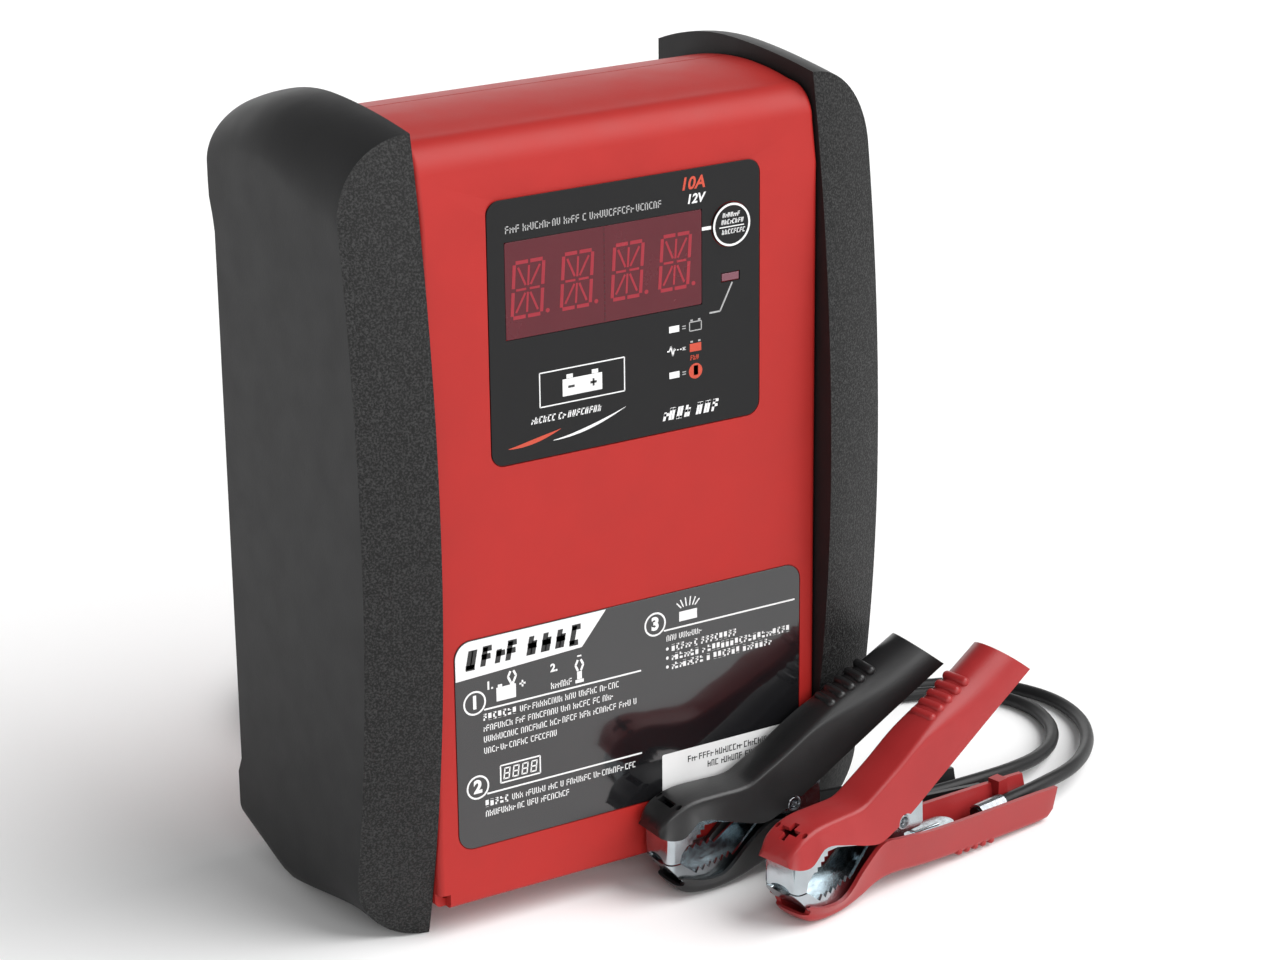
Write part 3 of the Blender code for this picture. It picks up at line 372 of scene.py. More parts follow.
def arc(cx, cz, radius, first, last, steps):
    """Points on a circle from the first angle to the last, in degrees, both ends included."""
    angles = [math.radians(first + (last - first) * step / steps) for step in range(steps + 1)]
    return [(cx + radius * math.cos(a), cz + radius * math.sin(a)) for a in angles]


def circle(cx, cz, radius, sides, radius_z=None):
    turns = [math.tau * i / sides for i in range(sides)]
    return [(cx + radius * math.cos(t), cz + (radius_z or radius) * math.sin(t)) for t in turns]


def skin(bm, rows):
    """Faces between rows of vertices that each close on themselves; a row may be a single vertex."""
    sides = max(len(row) for row in rows)
    for a, b in zip(rows, rows[1:]):
        for i in range(sides):
            j = (i + 1) % sides
            corners = list(dict.fromkeys((a[i % len(a)], a[j % len(a)], b[j % len(b)], b[i % len(b)])))
            if len(corners) > 2:
                bm.faces.new(corners)
    bmesh.ops.recalc_face_normals(bm, faces=bm.faces)


def turned(centre, profile, sides):
    """A shape turned round an axis along Y, from (radius, y) points in millimetres."""
    bm = bmesh.new()
    rows = []
    for radius, y in profile:
        ring = [(centre.x, centre.z)] if radius == 0.0 else circle(centre.x, centre.z, radius * MM, sides)
        rows.append([bm.verts.new((x, centre.y + y * MM, z)) for x, z in ring])
    skin(bm, rows)
    return bm


def finish(obj, body, slot, *nodes):
    """Puts a piece on its body and hides the CAD nodes that it stands for. The slot is not used."""
    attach(obj, body)
    if nodes:
        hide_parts(*nodes)
    return obj


def spline_value(knots, at):
    """Catmull-Rom through (x, value...) rows, read at x = at."""
    if at <= knots[0][0]:
        return knots[0][1:]
    if at >= knots[-1][0]:
        return knots[-1][1:]
    index = max(i for i, row in enumerate(knots) if row[0] <= at)
    b, c = knots[index], knots[index + 1]
    a = knots[index - 1] if index else b
    d = knots[index + 2] if index + 2 < len(knots) else c
    t = (at - b[0]) / (c[0] - b[0])
    span = c[0] - b[0]
    found = []
    for k in range(1, len(b)):
        into = (c[k] - a[k]) / max(c[0] - a[0], 1e-9) * span
        out = (d[k] - b[k]) / max(d[0] - b[0], 1e-9) * span
        found.append((2 * t**3 - 3 * t**2 + 1) * b[k] + (t**3 - 2 * t**2 + t) * into
                     + (3 * t**2 - 2 * t**3) * c[k] + (t**3 - t**2) * out)
    return found


def smooth_route(points, spacing):
    """Points a spacing apart along a smooth curve through the given ones."""
    points = [Vector(point) for point in points]
    padded = [2 * points[0] - points[1], *points, 2 * points[-1] - points[-2]]
    dense = []
    for a, b, c, d in zip(padded, padded[1:], padded[2:], padded[3:]):
        for step in range(24):
            t = step / 24
            dense.append(0.5 * (2 * b + (c - a) * t + (2 * a - 5 * b + 4 * c - d) * t**2
                                + (3 * b - a - 3 * c + d) * t**3))
    dense.append(points[-1])
    lengths = [0.0]
    for a, b in zip(dense, dense[1:]):
        lengths.append(lengths[-1] + (b - a).length)
    count = max(2, round(lengths[-1] / spacing))
    route, at = [], 0
    for i in range(count + 1):
        want = lengths[-1] * i / count
        while at < len(dense) - 2 and lengths[at + 1] < want:
            at += 1
        share = (want - lengths[at]) / (lengths[at + 1] - lengths[at])
        route.append(dense[at].lerp(dense[at + 1], share))
    return route


# ---------------------------------------------------------------- cords

COIL_CENTRE = Vector((12.0, 120.0))
COIL_RADIUS, COIL_STEP = 33.0, 7.0  # the inmost turns, and the distance to the next ones out
COIL_LAYERS = (3.6, 10.6)
COIL_ENTRY, COIL_EXIT = -8.5, 2060.0  # the angles, in degrees, at which the cord joins and leaves its coil
ENTRY_HEIGHT, EXIT_RADIUS = 18.1, 54.5
DC_CORD_DIAMETER = 7.0 * MM
LEAD_DIAMETER = 4.4 * MM
CORD_TO_COIL = (
    (35.0, 62.0, 30.0), (35.4, 72.0, 29.0), (37.8, 84.0, 24.6), (42.4, 95.0, 20.4), (47.6, 104.0, 18.4),
    (52.0, 114.0, 18.1),
)
CORD_FROM_COIL = (
    (2.5, 66.2, 3.6), (14.0, 65.4, 3.6), (28.0, 66.4, 3.6), (42.0, 69.2, 3.6), (56.0, 70.6, 3.6),
    (65.0, 69.5, 3.6), (71.2, 67.3, 3.6),
)
LEADS = {
    "positive": (
        (99.8, 58.0, 2.6), (109.0, 53.6, 2.3), (122.0, 45.4, 2.3), (138.0, 38.6, 2.3), (156.0, 34.4, 2.3),
        (172.0, 27.6, 2.3), (184.0, 15.4, 2.3), (189.2, 0.0, 2.3), (187.2, -16.0, 2.5), (178.6, -31.6, 3.6),
        (166.0, -45.6, 5.6), (151.0, -57.0, 7.8), (134.0, -63.6, 8.9), (118.0, -67.1, 8.9),
        (103.7, -69.9, 8.9),
    ),
    "negative": (
        (98.0, 53.4, 2.6), (107.0, 47.6, 2.3), (119.0, 39.9, 2.3), (136.0, 33.0, 2.3), (153.0, 28.9, 2.3),
        (167.0, 21.6, 2.3), (176.0, 11.4, 2.3), (179.0, -2.6, 2.3), (175.0, -17.0, 2.5), (165.4, -29.6, 3.4),
        (152.0, -39.4, 5.0), (136.0, -46.4, 7.4), (118.0, -49.9, 8.9), (102.0, -49.9, 8.9),
        (86.4, -49.5, 8.9),
    ),
}


def coil_turns():
    """The cord's way through its coil: down over the second turn of the upper layer to the outside, three
    turns inwards, then three turns outwards below them. It changes place within a thirteenth of a turn."""
    points = []
    for degree in range(5, int(COIL_EXIT), 12):
        turn = (degree - COIL_ENTRY) / 360
        whole = int(turn)
        move = smooth_step(turn - whole, 0.0, 0.075) if whole else 1.0
        if whole < 3:
            radius = COIL_RADIUS + COIL_STEP * (2 - whole) + (COIL_STEP * (1 - move) if whole else 0.0)
            height = COIL_LAYERS[1]
        else:
            radius = COIL_RADIUS + COIL_STEP * (whole - 3) - (COIL_STEP * (1 - move) if whole > 3 else 0.0)
            height = COIL_LAYERS[0]
            if whole == 3:
                radius -= 2.5 * math.sin(math.pi * move)
                height = COIL_LAYERS[1] + (COIL_LAYERS[0] - COIL_LAYERS[1]) * move
        if whole == 0:
            roll = math.radians(90 * smooth_step(turn, 0.06, 0.28))
            radius = COIL_RADIUS + COIL_STEP * (1 + math.sin(roll))
            height = COIL_LAYERS[1] + (ENTRY_HEIGHT - COIL_LAYERS[1]) * math.cos(roll)
        leaving = smooth_step(degree, COIL_EXIT - 60, COIL_EXIT)
        radius += (EXIT_RADIUS - COIL_RADIUS - 2 * COIL_STEP) * leaving
        angle = math.radians(degree)
        points.append((COIL_CENTRE.x + radius * math.cos(angle), COIL_CENTRE.y + radius * math.sin(angle),
                       height))
    return points


def smooth_step(value, low, high):
    t = min(max((value - low) / (high - low), 0.0), 1.0)
    return t * t * (3 - 2 * t)


def cord_curve(name, points, diameter, material):
    curve = bpy.data.curves.new(name, "CURVE")
    curve.dimensions = "3D"
    curve.bevel_depth = diameter / 2
    curve.bevel_resolution = 5
    curve.use_fill_caps = True
    curve.materials.append(material)
    spline = curve.splines.new("POLY")
    spline.points.add(len(points) - 1)
    for target, point in zip(spline.points, points):
        target.co = (*point, 1.0)
    spline.use_smooth = True
    return link(bpy.data.objects.new(name, curve))


def add_cords():
    whole = [Vector(p) * MM for p in (*CORD_TO_COIL, *coil_turns(), *CORD_FROM_COIL)]
    cord = cord_curve("dc_cord", smooth_route(whole, 4 * MM), DC_CORD_DIAMETER, LOOKS["rubber"])
    finish(cord, CHARGER, "cord_rubber", "dc_cord_to_coil", "dc_cord_coil", "dc_cord_from_coil")
    for pole, points in LEADS.items():
        route = smooth_route([Vector(p) * MM for p in points], 3 * MM)
        lead = cord_curve(f"{pole}_lead_cord", route, LEAD_DIAMETER, LOOKS["rubber"])
        finish(lead, CHARGER, "cord_rubber", f"{pole}_lead")


# ---------------------------------------------------------------- housing

HOUSING_HALF = 65.2 * MM
FRONT_Y, SEAM_Y, BACK_Y, BASE_Z = -38.8 * MM, 6.8 * MM, 36.7 * MM, 9.0 * MM
WALL = 2.5 * MM
SEAM_GAP = 0.3 * MM
FIT_GAP = 0.3 * MM  # round a part that sits in an opening
EDGE_RADIUS = 10.0 * MM
EDGE_Y, EDGE_Z = FRONT_Y + 12.0 * MM, BASE_Z + 215.0 * MM
CROWN_Y, CROWN_Z, CROWN_RADIUS = FRONT_Y + 34.0 * MM, BASE_Z + 226.9 * MM, 115.0 * MM
SIDE_FILLET = 1.8 * MM
FOOT_FILLET = 1.5 * MM


def crown_height(y):
    return CROWN_Z - (y - CROWN_Y) ** 2 / (2 * CROWN_RADIUS)


def front_loop(inset=0.0):
    """(y, z) outline of the front shell, from the seam's foot, round the front and over the top."""
    fillet = max(FOOT_FILLET - inset, 0.01 * MM)
    points = [(SEAM_Y, BASE_Z + inset)]
    points += arc(FRONT_Y + inset + fillet, BASE_Z + inset + fillet, fillet, 270, 180, 4)
    points += [(FRONT_Y + inset, z) for z in (60 * MM, 110 * MM, 160 * MM, EDGE_Z - 12 * MM)]
    points += arc(EDGE_Y, EDGE_Z, EDGE_RADIUS - inset, 180, 90, 12)
    top = [EDGE_Y + (SEAM_Y - EDGE_Y) * step / 12 for step in range(1, 13)]
    return points + [(y, crown_height(y) - inset) for y in top]


def rear_loop(inset=0.0):
    """(y, z) outline of the rear cover, from the seam's foot, round the back and over the top."""
    front, back = SEAM_Y + SEAM_GAP, BACK_Y - inset
    fillet = max(FOOT_FILLET - inset, 0.01 * MM)
    points = [(front, BASE_Z + inset)]
    points += arc(back - fillet, BASE_Z + inset + fillet, fillet, -90, 0, 4)
    points += [(back, z) for z in (60 * MM, 120 * MM, 180 * MM)]
    high = crown_height(back - fillet) - inset
    points += arc(back - fillet, high - fillet, fillet, 0, 90, 4)
    top = [back - fillet + (front - back + fillet) * step / 8 for step in range(1, 9)]
    return points + [(y, crown_height(y) - inset) for y in top]


def filleted_block(name, loop):
    """The loop's outline spread across the housing, rounded where it meets the side caps."""
    steps = 5
    stations = []
    for step in range(steps + 1):
        angle = math.radians(90 * step / steps)
        inset = SIDE_FILLET * (1 - math.cos(angle))
        stations.append((HOUSING_HALF - SIDE_FILLET * (1 - math.sin(angle)), inset))
    stations = [(-x, inset) for x, inset in reversed(stations)] + stations
    bm = bmesh.new()
    rings = [[bm.verts.new((x, y, z)) for y, z in loop(inset)] for x, inset in stations]
    count = len(rings[0])
    for near, far in zip(rings, rings[1:]):
        for i in range(count):
            j = (i + 1) % count
            bm.faces.new((near[i], near[j], far[j], far[i]))
    bm.faces.new(rings[0])
    bm.faces.new(rings[-1][::-1])
    return mesh_object(name, bm, LOOKS["housing"])


def rounded_rectangle(xs, zs, radius, steps=8):
    corners = [(xs[1] - radius, zs[0] + radius, -90), (xs[1] - radius, zs[1] - radius, 0),
               (xs[0] + radius, zs[1] - radius, 90), (xs[0] + radius, zs[0] + radius, 180)]
    return [point for x, z, first in corners for point in arc(x, z, radius, first, first + 90, steps)]


def plate(bm, outline, front, depth):
    """A flat piece with its face at y = front and its back at front + depth."""
    prism_mesh(bm, outline, (0, front + depth, 0), (1, 0, 0), (0, 0, 1), depth)


def span(node):
    low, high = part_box(node)
    return (low.x, high.x), (low.z, high.z)


def grown(pair, by):
    return pair[0] - by, pair[1] + by


def middle_of(node):
    low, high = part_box(node)
    return (low + high) / 2


def hollow_cutter(loop, seam):
    """The room inside a housing half: its outline set in by the wall, carried on past the seam."""
    def build(bm):
        outline = list(loop(WALL))
        outline[0], outline[-1] = (seam, outline[0][1]), (seam, outline[-1][1])
        half = HOUSING_HALF - WALL
        prism_mesh(bm, outline, (-half, 0, 0), (0, 1, 0), (0, 0, 1), 2 * half)
    return helper("hollow", build)


def recess_cutter(name, node, radius, depth):
    """A rounded recess in the front for a film or a label."""
    xs, zs = (grown(pair, FIT_GAP) for pair in span(node))
    return helper(name, lambda bm: plate(bm, rounded_rectangle(xs, zs, radius), FRONT_Y - MM, depth))


def front_shell():
    shell = filleted_block("front_shell_moulding", front_loop)
    button = middle_of("selector_button")

    def through(bm, node, grow):
        (x0, x1), (z0, z1) = (grown(pair, grow) for pair in span(node))
        box_mesh(bm, (x0, FRONT_Y - MM, z0), (x1, FRONT_Y + 4 * MM, z1))

    def openings(bm):
        through(bm, "display_window", -2 * MM)
        rod_mesh(bm, (button.x, FRONT_Y - MM, button.z), (0, 1, 0), 5 * MM, 3.4 * MM)
        through(bm, "status_led_lens", FIT_GAP)
        box_mesh(bm, (-HOUSING_HALF - MM, SEAM_Y - 0.35 * MM, crown_height(SEAM_Y) - 0.5 * MM),
                 (HOUSING_HALF + MM, SEAM_Y + MM, CROWN_Z + MM))
        corner = -HOUSING_HALF
        box_mesh(bm, (corner - MM, FRONT_Y - MM, BASE_Z - MM),
                 (corner + 3.4 * MM, FRONT_Y + 3.2 * MM, BASE_Z + 4.6 * MM))

    carve(shell,
          hollow_cutter(front_loop, SEAM_Y + MM),
          recess_cutter("panel_recess", "display_overlay", 4.3 * MM, 1.7 * MM),
          recess_cutter("label_recess", "quick_start_label", 5.3 * MM, 1.5 * MM),
          helper("openings", openings))
    shade(shell, 32.0)
    finish(shell, CHARGER, "housing_red", "front_shell")


def rear_cover():
    cover = filleted_block("rear_cover_moulding", rear_loop)
    glands = [middle_of(name) for name in ("dc_cord_gland", "mains_cord_gland")]
    screws = [middle_of(f"rear_cover_screw_{i}") for i in range(1, 5)]

    def posts(bm):
        for place in screws:
            rod_mesh(bm, (place.x, SEAM_Y + SEAM_GAP, place.z), (0, 1, 0), BACK_Y - SEAM_Y - MM, 4.6 * MM)

    def openings(bm):
        for place in screws:
            rod_mesh(bm, (place.x, 16 * MM, place.z), (0, 1, 0), 30 * MM, 3.4 * MM)
            rod_mesh(bm, (place.x, SEAM_Y - MM, place.z), (0, 1, 0), 10.5 * MM, 1.8 * MM)
        for place in glands:
            rod_mesh(bm, (place.x, 30 * MM, place.z), (0, 1, 0), 10 * MM, 6.3 * MM)
        for row in range(9):
            z = (150 + 7 * row) * MM
            slot = rounded_rectangle((-34 * MM, 34 * MM), (z, z + 3 * MM), 1.45 * MM, 5)
            plate(bm, slot, BACK_Y - 5 * MM, 8 * MM)

    carve(cover, hollow_cutter(rear_loop, SEAM_Y - MM))
    carve(cover, helper("posts", posts), operation="UNION")
    carve(cover, helper("openings", openings))
    shade(cover, 32.0)
    finish(cover, CHARGER, "housing_red", "rear_cover")


# ---------------------------------------------------------------- side caps

CAP_PLANE = 65.5 * MM
CAP_WIDTH = 21.5 * MM
LIP_Y, BOW_Z = -46.2 * MM, 119.0 * MM
BOW_RADIUS_LOW, BOW_RADIUS_HIGH = 495.0 * MM, 650.0 * MM
CHAMFER_DEPTH = 6.3 * MM
CAP_BACK_Y, FOOT_BACK_Y, HEEL_BACK_Y = 43.7 * MM, 46.2 * MM, 46.6 * MM
CAP_CROWN_Y, CAP_TOP_Z = 3.2 * MM, 240.5 * MM


def bow_y(z):
    radius = BOW_RADIUS_LOW if z < BOW_Z else BOW_RADIUS_HIGH
    return LIP_Y + (z - BOW_Z) ** 2 / (2 * radius)


def cap_back_y(z):
    foot = (FOOT_BACK_Y - CAP_BACK_Y) * (1 - smooth_step(z, 28 * MM, 31 * MM))
    heel = (HEEL_BACK_Y - CAP_BACK_Y) * smooth_step(z, 196 * MM, 208 * MM)
    return CAP_BACK_Y + foot + heel


def cap_outline(y):
    """(width, z) points of the cap's outer wall at depth y, from its bottom inner edge to its top one."""
    forward = 1 - smooth_step(y, -30 * MM, 20 * MM)
    low_z = max(0.0, (y - 12 * MM) * 0.29)
    top_z = CAP_TOP_Z - (y - CAP_CROWN_Y) ** 2 / (0.6 if y < CAP_CROWN_Y else 0.216)
    low_wide, low_high = (8 + 13 * forward) * MM, (8 + 12 * forward) * MM
    top_high = (17 + 7 * forward) * MM
    points = [(0.0, low_z)]
    for step in range(15):
        angle = math.radians(90 * step / 14)
        points.append((CAP_WIDTH - low_wide * (1 - math.sin(angle)),
                       low_z + low_high * (1 - math.cos(angle))))
    first, last = low_z + low_high, top_z - top_high
    points += [(CAP_WIDTH, first + (last - first) * step / 40) for step in range(1, 41)]
    for step in range(1, 21):
        angle = math.radians(90 * step / 20)
        points.append((CAP_WIDTH * math.cos(angle), last + top_high * math.sin(angle)))
    return points


def cap_front_y(width, z):
    return bow_y(z) + CHAMFER_DEPTH * (width / CAP_WIDTH) ** 1.3


def cap_end(bm, outer, side, shares, material_index):
    inner, middle = [], []
    plane = side * CAP_PLANE
    front = outer[0].co.y < 0
    for vert in outer:
        width, z = abs(vert.co.x - plane), vert.co.z
        row = []
        for share in shares:
            y = cap_front_y(width * share, z) if front else cap_back_y(z)
            row.append(vert if width < 1e-6 else bm.verts.new((plane + side * width * share, y, z)))
        middle.append(row)
        inner.append(row[-1])
    for i in range(len(outer) - 1):
        low, high = [outer[i], *middle[i]], [outer[i + 1], *middle[i + 1]]
        for k in range(len(shares)):
            corners = list(dict.fromkeys((low[k], low[k + 1], high[k + 1], high[k])))
            if len(corners) > 2:
                bm.faces.new(corners).material_index = material_index
    return inner


def side_cap(side, name, node):
    rows = []
    for share in [step / 20 for step in range(21)]:
        flat = cap_outline(FRONT_Y + (CAP_BACK_Y - FRONT_Y) * share)
        ring = []
        for width, z in flat:
            front, back = cap_front_y(width, z), cap_back_y(z)
            ring.append((side * (CAP_PLANE + width), front + (back - front) * share, z))
        rows.append(ring)
    bm = bmesh.new()
    grid = [[bm.verts.new(point) for point in ring] for ring in rows]
    for near, far in zip(grid, grid[1:]):
        for i in range(len(near) - 1):
            bm.faces.new((near[i], near[i + 1], far[i + 1], far[i]))
    near = cap_end(bm, grid[0], side, [1 - k / 8 for k in range(1, 9)], 1)
    far = cap_end(bm, grid[-1], side, [0.0], 0)
    bm.faces.new([*near, *[row[-1] for row in grid[1:-1]], *far[::-1], *[row[0] for row in grid[-2:0:-1]]])
    bmesh.ops.remove_doubles(bm, verts=bm.verts, dist=0.01 * MM)
    bmesh.ops.triangulate(bm, faces=[face for face in bm.faces if len(face.verts) > 4])
    bmesh.ops.recalc_face_normals(bm, faces=bm.faces)
    cap = mesh_object(name, bm, LOOKS["cap"], LOOKS["cap_grain"], smooth=True, angle=28.0)
    soften(cap, 0.9 * MM, 3, 28.0)
    return finish(cap, CHARGER, "cap_charcoal", node)


# ---------------------------------------------------------------- printed marks

OVERPRINT = 0.05 * MM  # how far marks on top of other marks stand proud of them


class Print:
    """Flat marks a little above a face at y = front, gathered by ink and made into one piece for each."""

    def __init__(self, name, front, thickness=0.06 * MM):
        self.name, self.front, self.thickness, self.inks = name, front, thickness, {}

    def add(self, ink, outline):
        bm = self.inks.setdefault(ink, bmesh.new())
        plate(bm, outline, self.front - self.thickness, self.thickness)

    def bar(self, ink, x, z, wide, high, slant=0.0, turn=0.0):
        """A bar with its middle at x, z."""
        corners = [(-wide / 2 - slant * high / 2, -high / 2), (wide / 2 - slant * high / 2, -high / 2),
                   (wide / 2 + slant * high / 2, high / 2), (-wide / 2 + slant * high / 2, high / 2)]
        c, s = math.cos(turn), math.sin(turn)
        self.add(ink, [(x + u * c - v * s, z + u * s + v * c) for u, v in corners])

    def line(self, ink, start, end, width):
        (x0, z0), (x1, z1) = start, end
        self.bar(ink, (x0 + x1) / 2, (z0 + z1) / 2, math.hypot(x1 - x0, z1 - z0), width,
                 turn=math.atan2(z1 - z0, x1 - x0))

    def frame(self, ink, xs, zs, width):
        corners = [(xs[0], zs[0]), (xs[1], zs[0]), (xs[1], zs[1]), (xs[0], zs[1])]
        for a, b in zip(corners, corners[1:] + corners[:1]):
            self.line(ink, a, b, width)

    def disc(self, ink, x, z, radius, sides=24):
        self.add(ink, circle(x, z, radius, sides))

    def ring(self, ink, x, z, radius, width, sides=40):
        """A circle drawn as a closed band."""
        bm = self.inks.setdefault(ink, bmesh.new())
        face = self.front - self.thickness
        rows = [[bm.verts.new((u, y, v)) for u, v in circle(x, z, r, sides)]
                for r, y in ((radius, self.front), (radius, face), (radius - width, face),
                             (radius - width, self.front))]
        made = []
        for a, b in zip(rows, rows[1:] + rows[:1]):
            for i in range(sides):
                made.append(bm.faces.new((a[i], a[(i + 1) % sides], b[(i + 1) % sides], b[i])))
        bmesh.ops.recalc_face_normals(bm, faces=made)

    def glyphs(self, ink, x, z, height, words, slant=0.0, weight=0.16, seed=1):
        """A row of small abstract marks in word-like groups, from x to the right, on the line z. They
        aren't letters: each is a stem or two with a few bars. Gives back the x of the row's end."""
        pick = random.Random(seed)
        wide, stroke = height * 0.52, height * weight
        for word in words:
            for _ in range(word):
                kind = pick.randrange(6)
                lean = slant * height

                def stem(at, tall):
                    self.bar(ink, x + at + lean * (tall / 2 - 0.5), z + height * tall / 2, stroke,
                             height * tall, slant)

                def rung(level):
                    self.bar(ink, x + wide / 2 + lean * (level - 0.5), z + height * level, wide, stroke)

                stem(stroke / 2, 1.0 if kind != 4 else 0.72)
                if kind in (0, 2, 3):
                    stem(wide - stroke / 2, 0.74 if kind == 2 else 1.0)
                if kind in (0, 1, 5):
                    rung(0.92)
                if kind in (1, 2, 4):
                    rung(0.5)
                if kind in (3, 5):
                    rung(0.08)
                x += wide * (0.55 if kind == 4 else 1.0) + stroke * 1.1
            x += wide * 0.75
        return x

    def character(self, ink, text, x, z, height, slant=0.0, weight=0.0):
        """A numeral or sign from Blender's own font, drawn flat."""
        curve = bpy.data.curves.new("character", "FONT")
        curve.body, curve.size, curve.align_x, curve.align_y = text, height / 0.72, "CENTER", "CENTER"
        curve.shear, curve.offset, curve.extrude = slant, weight, self.thickness / 2
        curve.resolution_u = 6
        written = link(bpy.data.objects.new("character", curve))
        bpy.context.view_layer.update()
        graph = bpy.context.evaluated_depsgraph_get()
        mesh = bpy.data.meshes.new_from_object(written.evaluated_get(graph))
        turn = Matrix.Rotation(math.radians(90), 4, "X")
        mesh.transform(Matrix.Translation((x, self.front - self.thickness / 2, z)) @ turn)
        bm = self.inks.setdefault(ink, bmesh.new())
        bm.from_mesh(mesh)
        bpy.data.objects.remove(written)
        bpy.data.meshes.remove(mesh)
        bpy.data.curves.remove(curve)

    def make(self, body, slot):
        for ink, bm in self.inks.items():
            bmesh.ops.remove_doubles(bm, verts=bm.verts, dist=1e-7)
            finish(mesh_object(f"{self.name}_{ink}", bm, LOOKS[ink]), body, slot)


# ---------------------------------------------------------------- display panel


def flat_piece(name, outline, front, depth, material, bevel=0.12 * MM):
    bm = bmesh.new()
    plate(bm, outline, front, depth)
    return soften(mesh_object(name, bm, material), bevel, 2, 40.0)


def display_panel():
    low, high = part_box("display_overlay")
    front = low.y
    window_x, window_z = span("display_window")
    status_x, status_z = span("status_led_lens")
    button = middle_of("selector_button")
    overlay = flat_piece("overlay_film", rounded_rectangle((low.x, high.x), (low.z, high.z), 4 * MM), front,
                         0.5 * MM, LOOKS["overlay"])
    apply_modifiers(overlay)

    def openings(bm):
        for xs, zs, gap in ((window_x, window_z, FIT_GAP / 2), (status_x, status_z, FIT_GAP)):
            box_mesh(bm, (xs[0] - gap, front - MM, zs[0] - gap), (xs[1] + gap, front + 2 * MM, zs[1] + gap))
        rod_mesh(bm, (button.x, front - MM, button.z), (0, 1, 0), 3 * MM, 6.7 * MM, sides=64)

    carve(overlay, helper("openings", openings))
    finish(shade(overlay, 25.0), CHARGER, "overlay_charcoal", "display_overlay")

    window = flat_piece("window_pane", rounded_rectangle(window_x, window_z, 0.6 * MM, 3), front, 0.5 * MM,
                        LOOKS["window"], 0.08 * MM)
    finish(window, CHARGER, "tinted_window", "display_window")
    digits(window_x, window_z, front)

    bm = bmesh.new()
    box_mesh(bm, (status_x[0], front, status_z[0]), (status_x[1], FRONT_Y + 10 * MM, status_z[1]))
    lens = soften(mesh_object("status_lens", bm, LOOKS["lens"]), 0.15 * MM, 2, 40.0)
    finish(lens, CHARGER, "lens_red", "status_led_lens")

    panel_marks(low, high, front, window_x, window_z, status_x, status_z, button)
    select_button(button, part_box("selector_button")[0].y)


def digits(window_x, window_z, front):
    """Four sixteen-segment characters with their points, and the seam between the two display modules."""
    marks = Print("display_digits", front, 0.04 * MM)
    wide, high = window_x[1] - window_x[0], window_z[1] - window_z[0]
    size_x, size_z, stroke, lean = 9.4 * MM, 15.6 * MM, 1.05 * MM, 0.07
    for i in range(4):
        x = window_x[0] + wide * (0.112 + 0.2455 * i + (0.012 if i > 1 else 0.0))
        z = window_z[0] + high * 0.50
        digit(marks, x, z, size_x, size_z, stroke, lean)
    marks.make(CHARGER, "lens_red")
    seam = Print("module_seam", front, 0.03 * MM)
    middle = window_x[0] + wide * 0.497
    for row in range(17):
        seam.bar("ink_red", middle, window_z[0] + high * (0.03 + 0.059 * row), 0.35 * MM, 0.9 * MM)
    seam.make(CHARGER, "lens_red")


def digit(marks, x, z, wide, high, stroke, lean):
    def at(u, v):
        return x + u * wide / 2 + lean * v * high / 2, z + v * high / 2

    space = stroke * 0.62
    for v in (-1, 1):
        for u in (-1, 1):
            marks.line("segment", at(u * 0.92, v), at(u * 0.08, v), stroke)
    for u in (-1, 1):
        marks.line("segment", at(u, 0.93), at(u, 0.07), stroke)
        marks.line("segment", at(u, -0.93), at(u, -0.07), stroke)
        marks.line("segment", at(u * 0.80, 0), at(u * 0.12, 0), space)
    for v in (-1, 1):
        marks.line("segment", at(0, v * 0.85), at(0, v * 0.12), space)
        for u in (-1, 1):
            marks.line("segment", at(u * 0.74, v * 0.82), at(u * 0.17, v * 0.14), space)
    px, pz = at(1.42, -0.93)
    marks.disc("segment", px, pz, stroke * 0.62, 12)


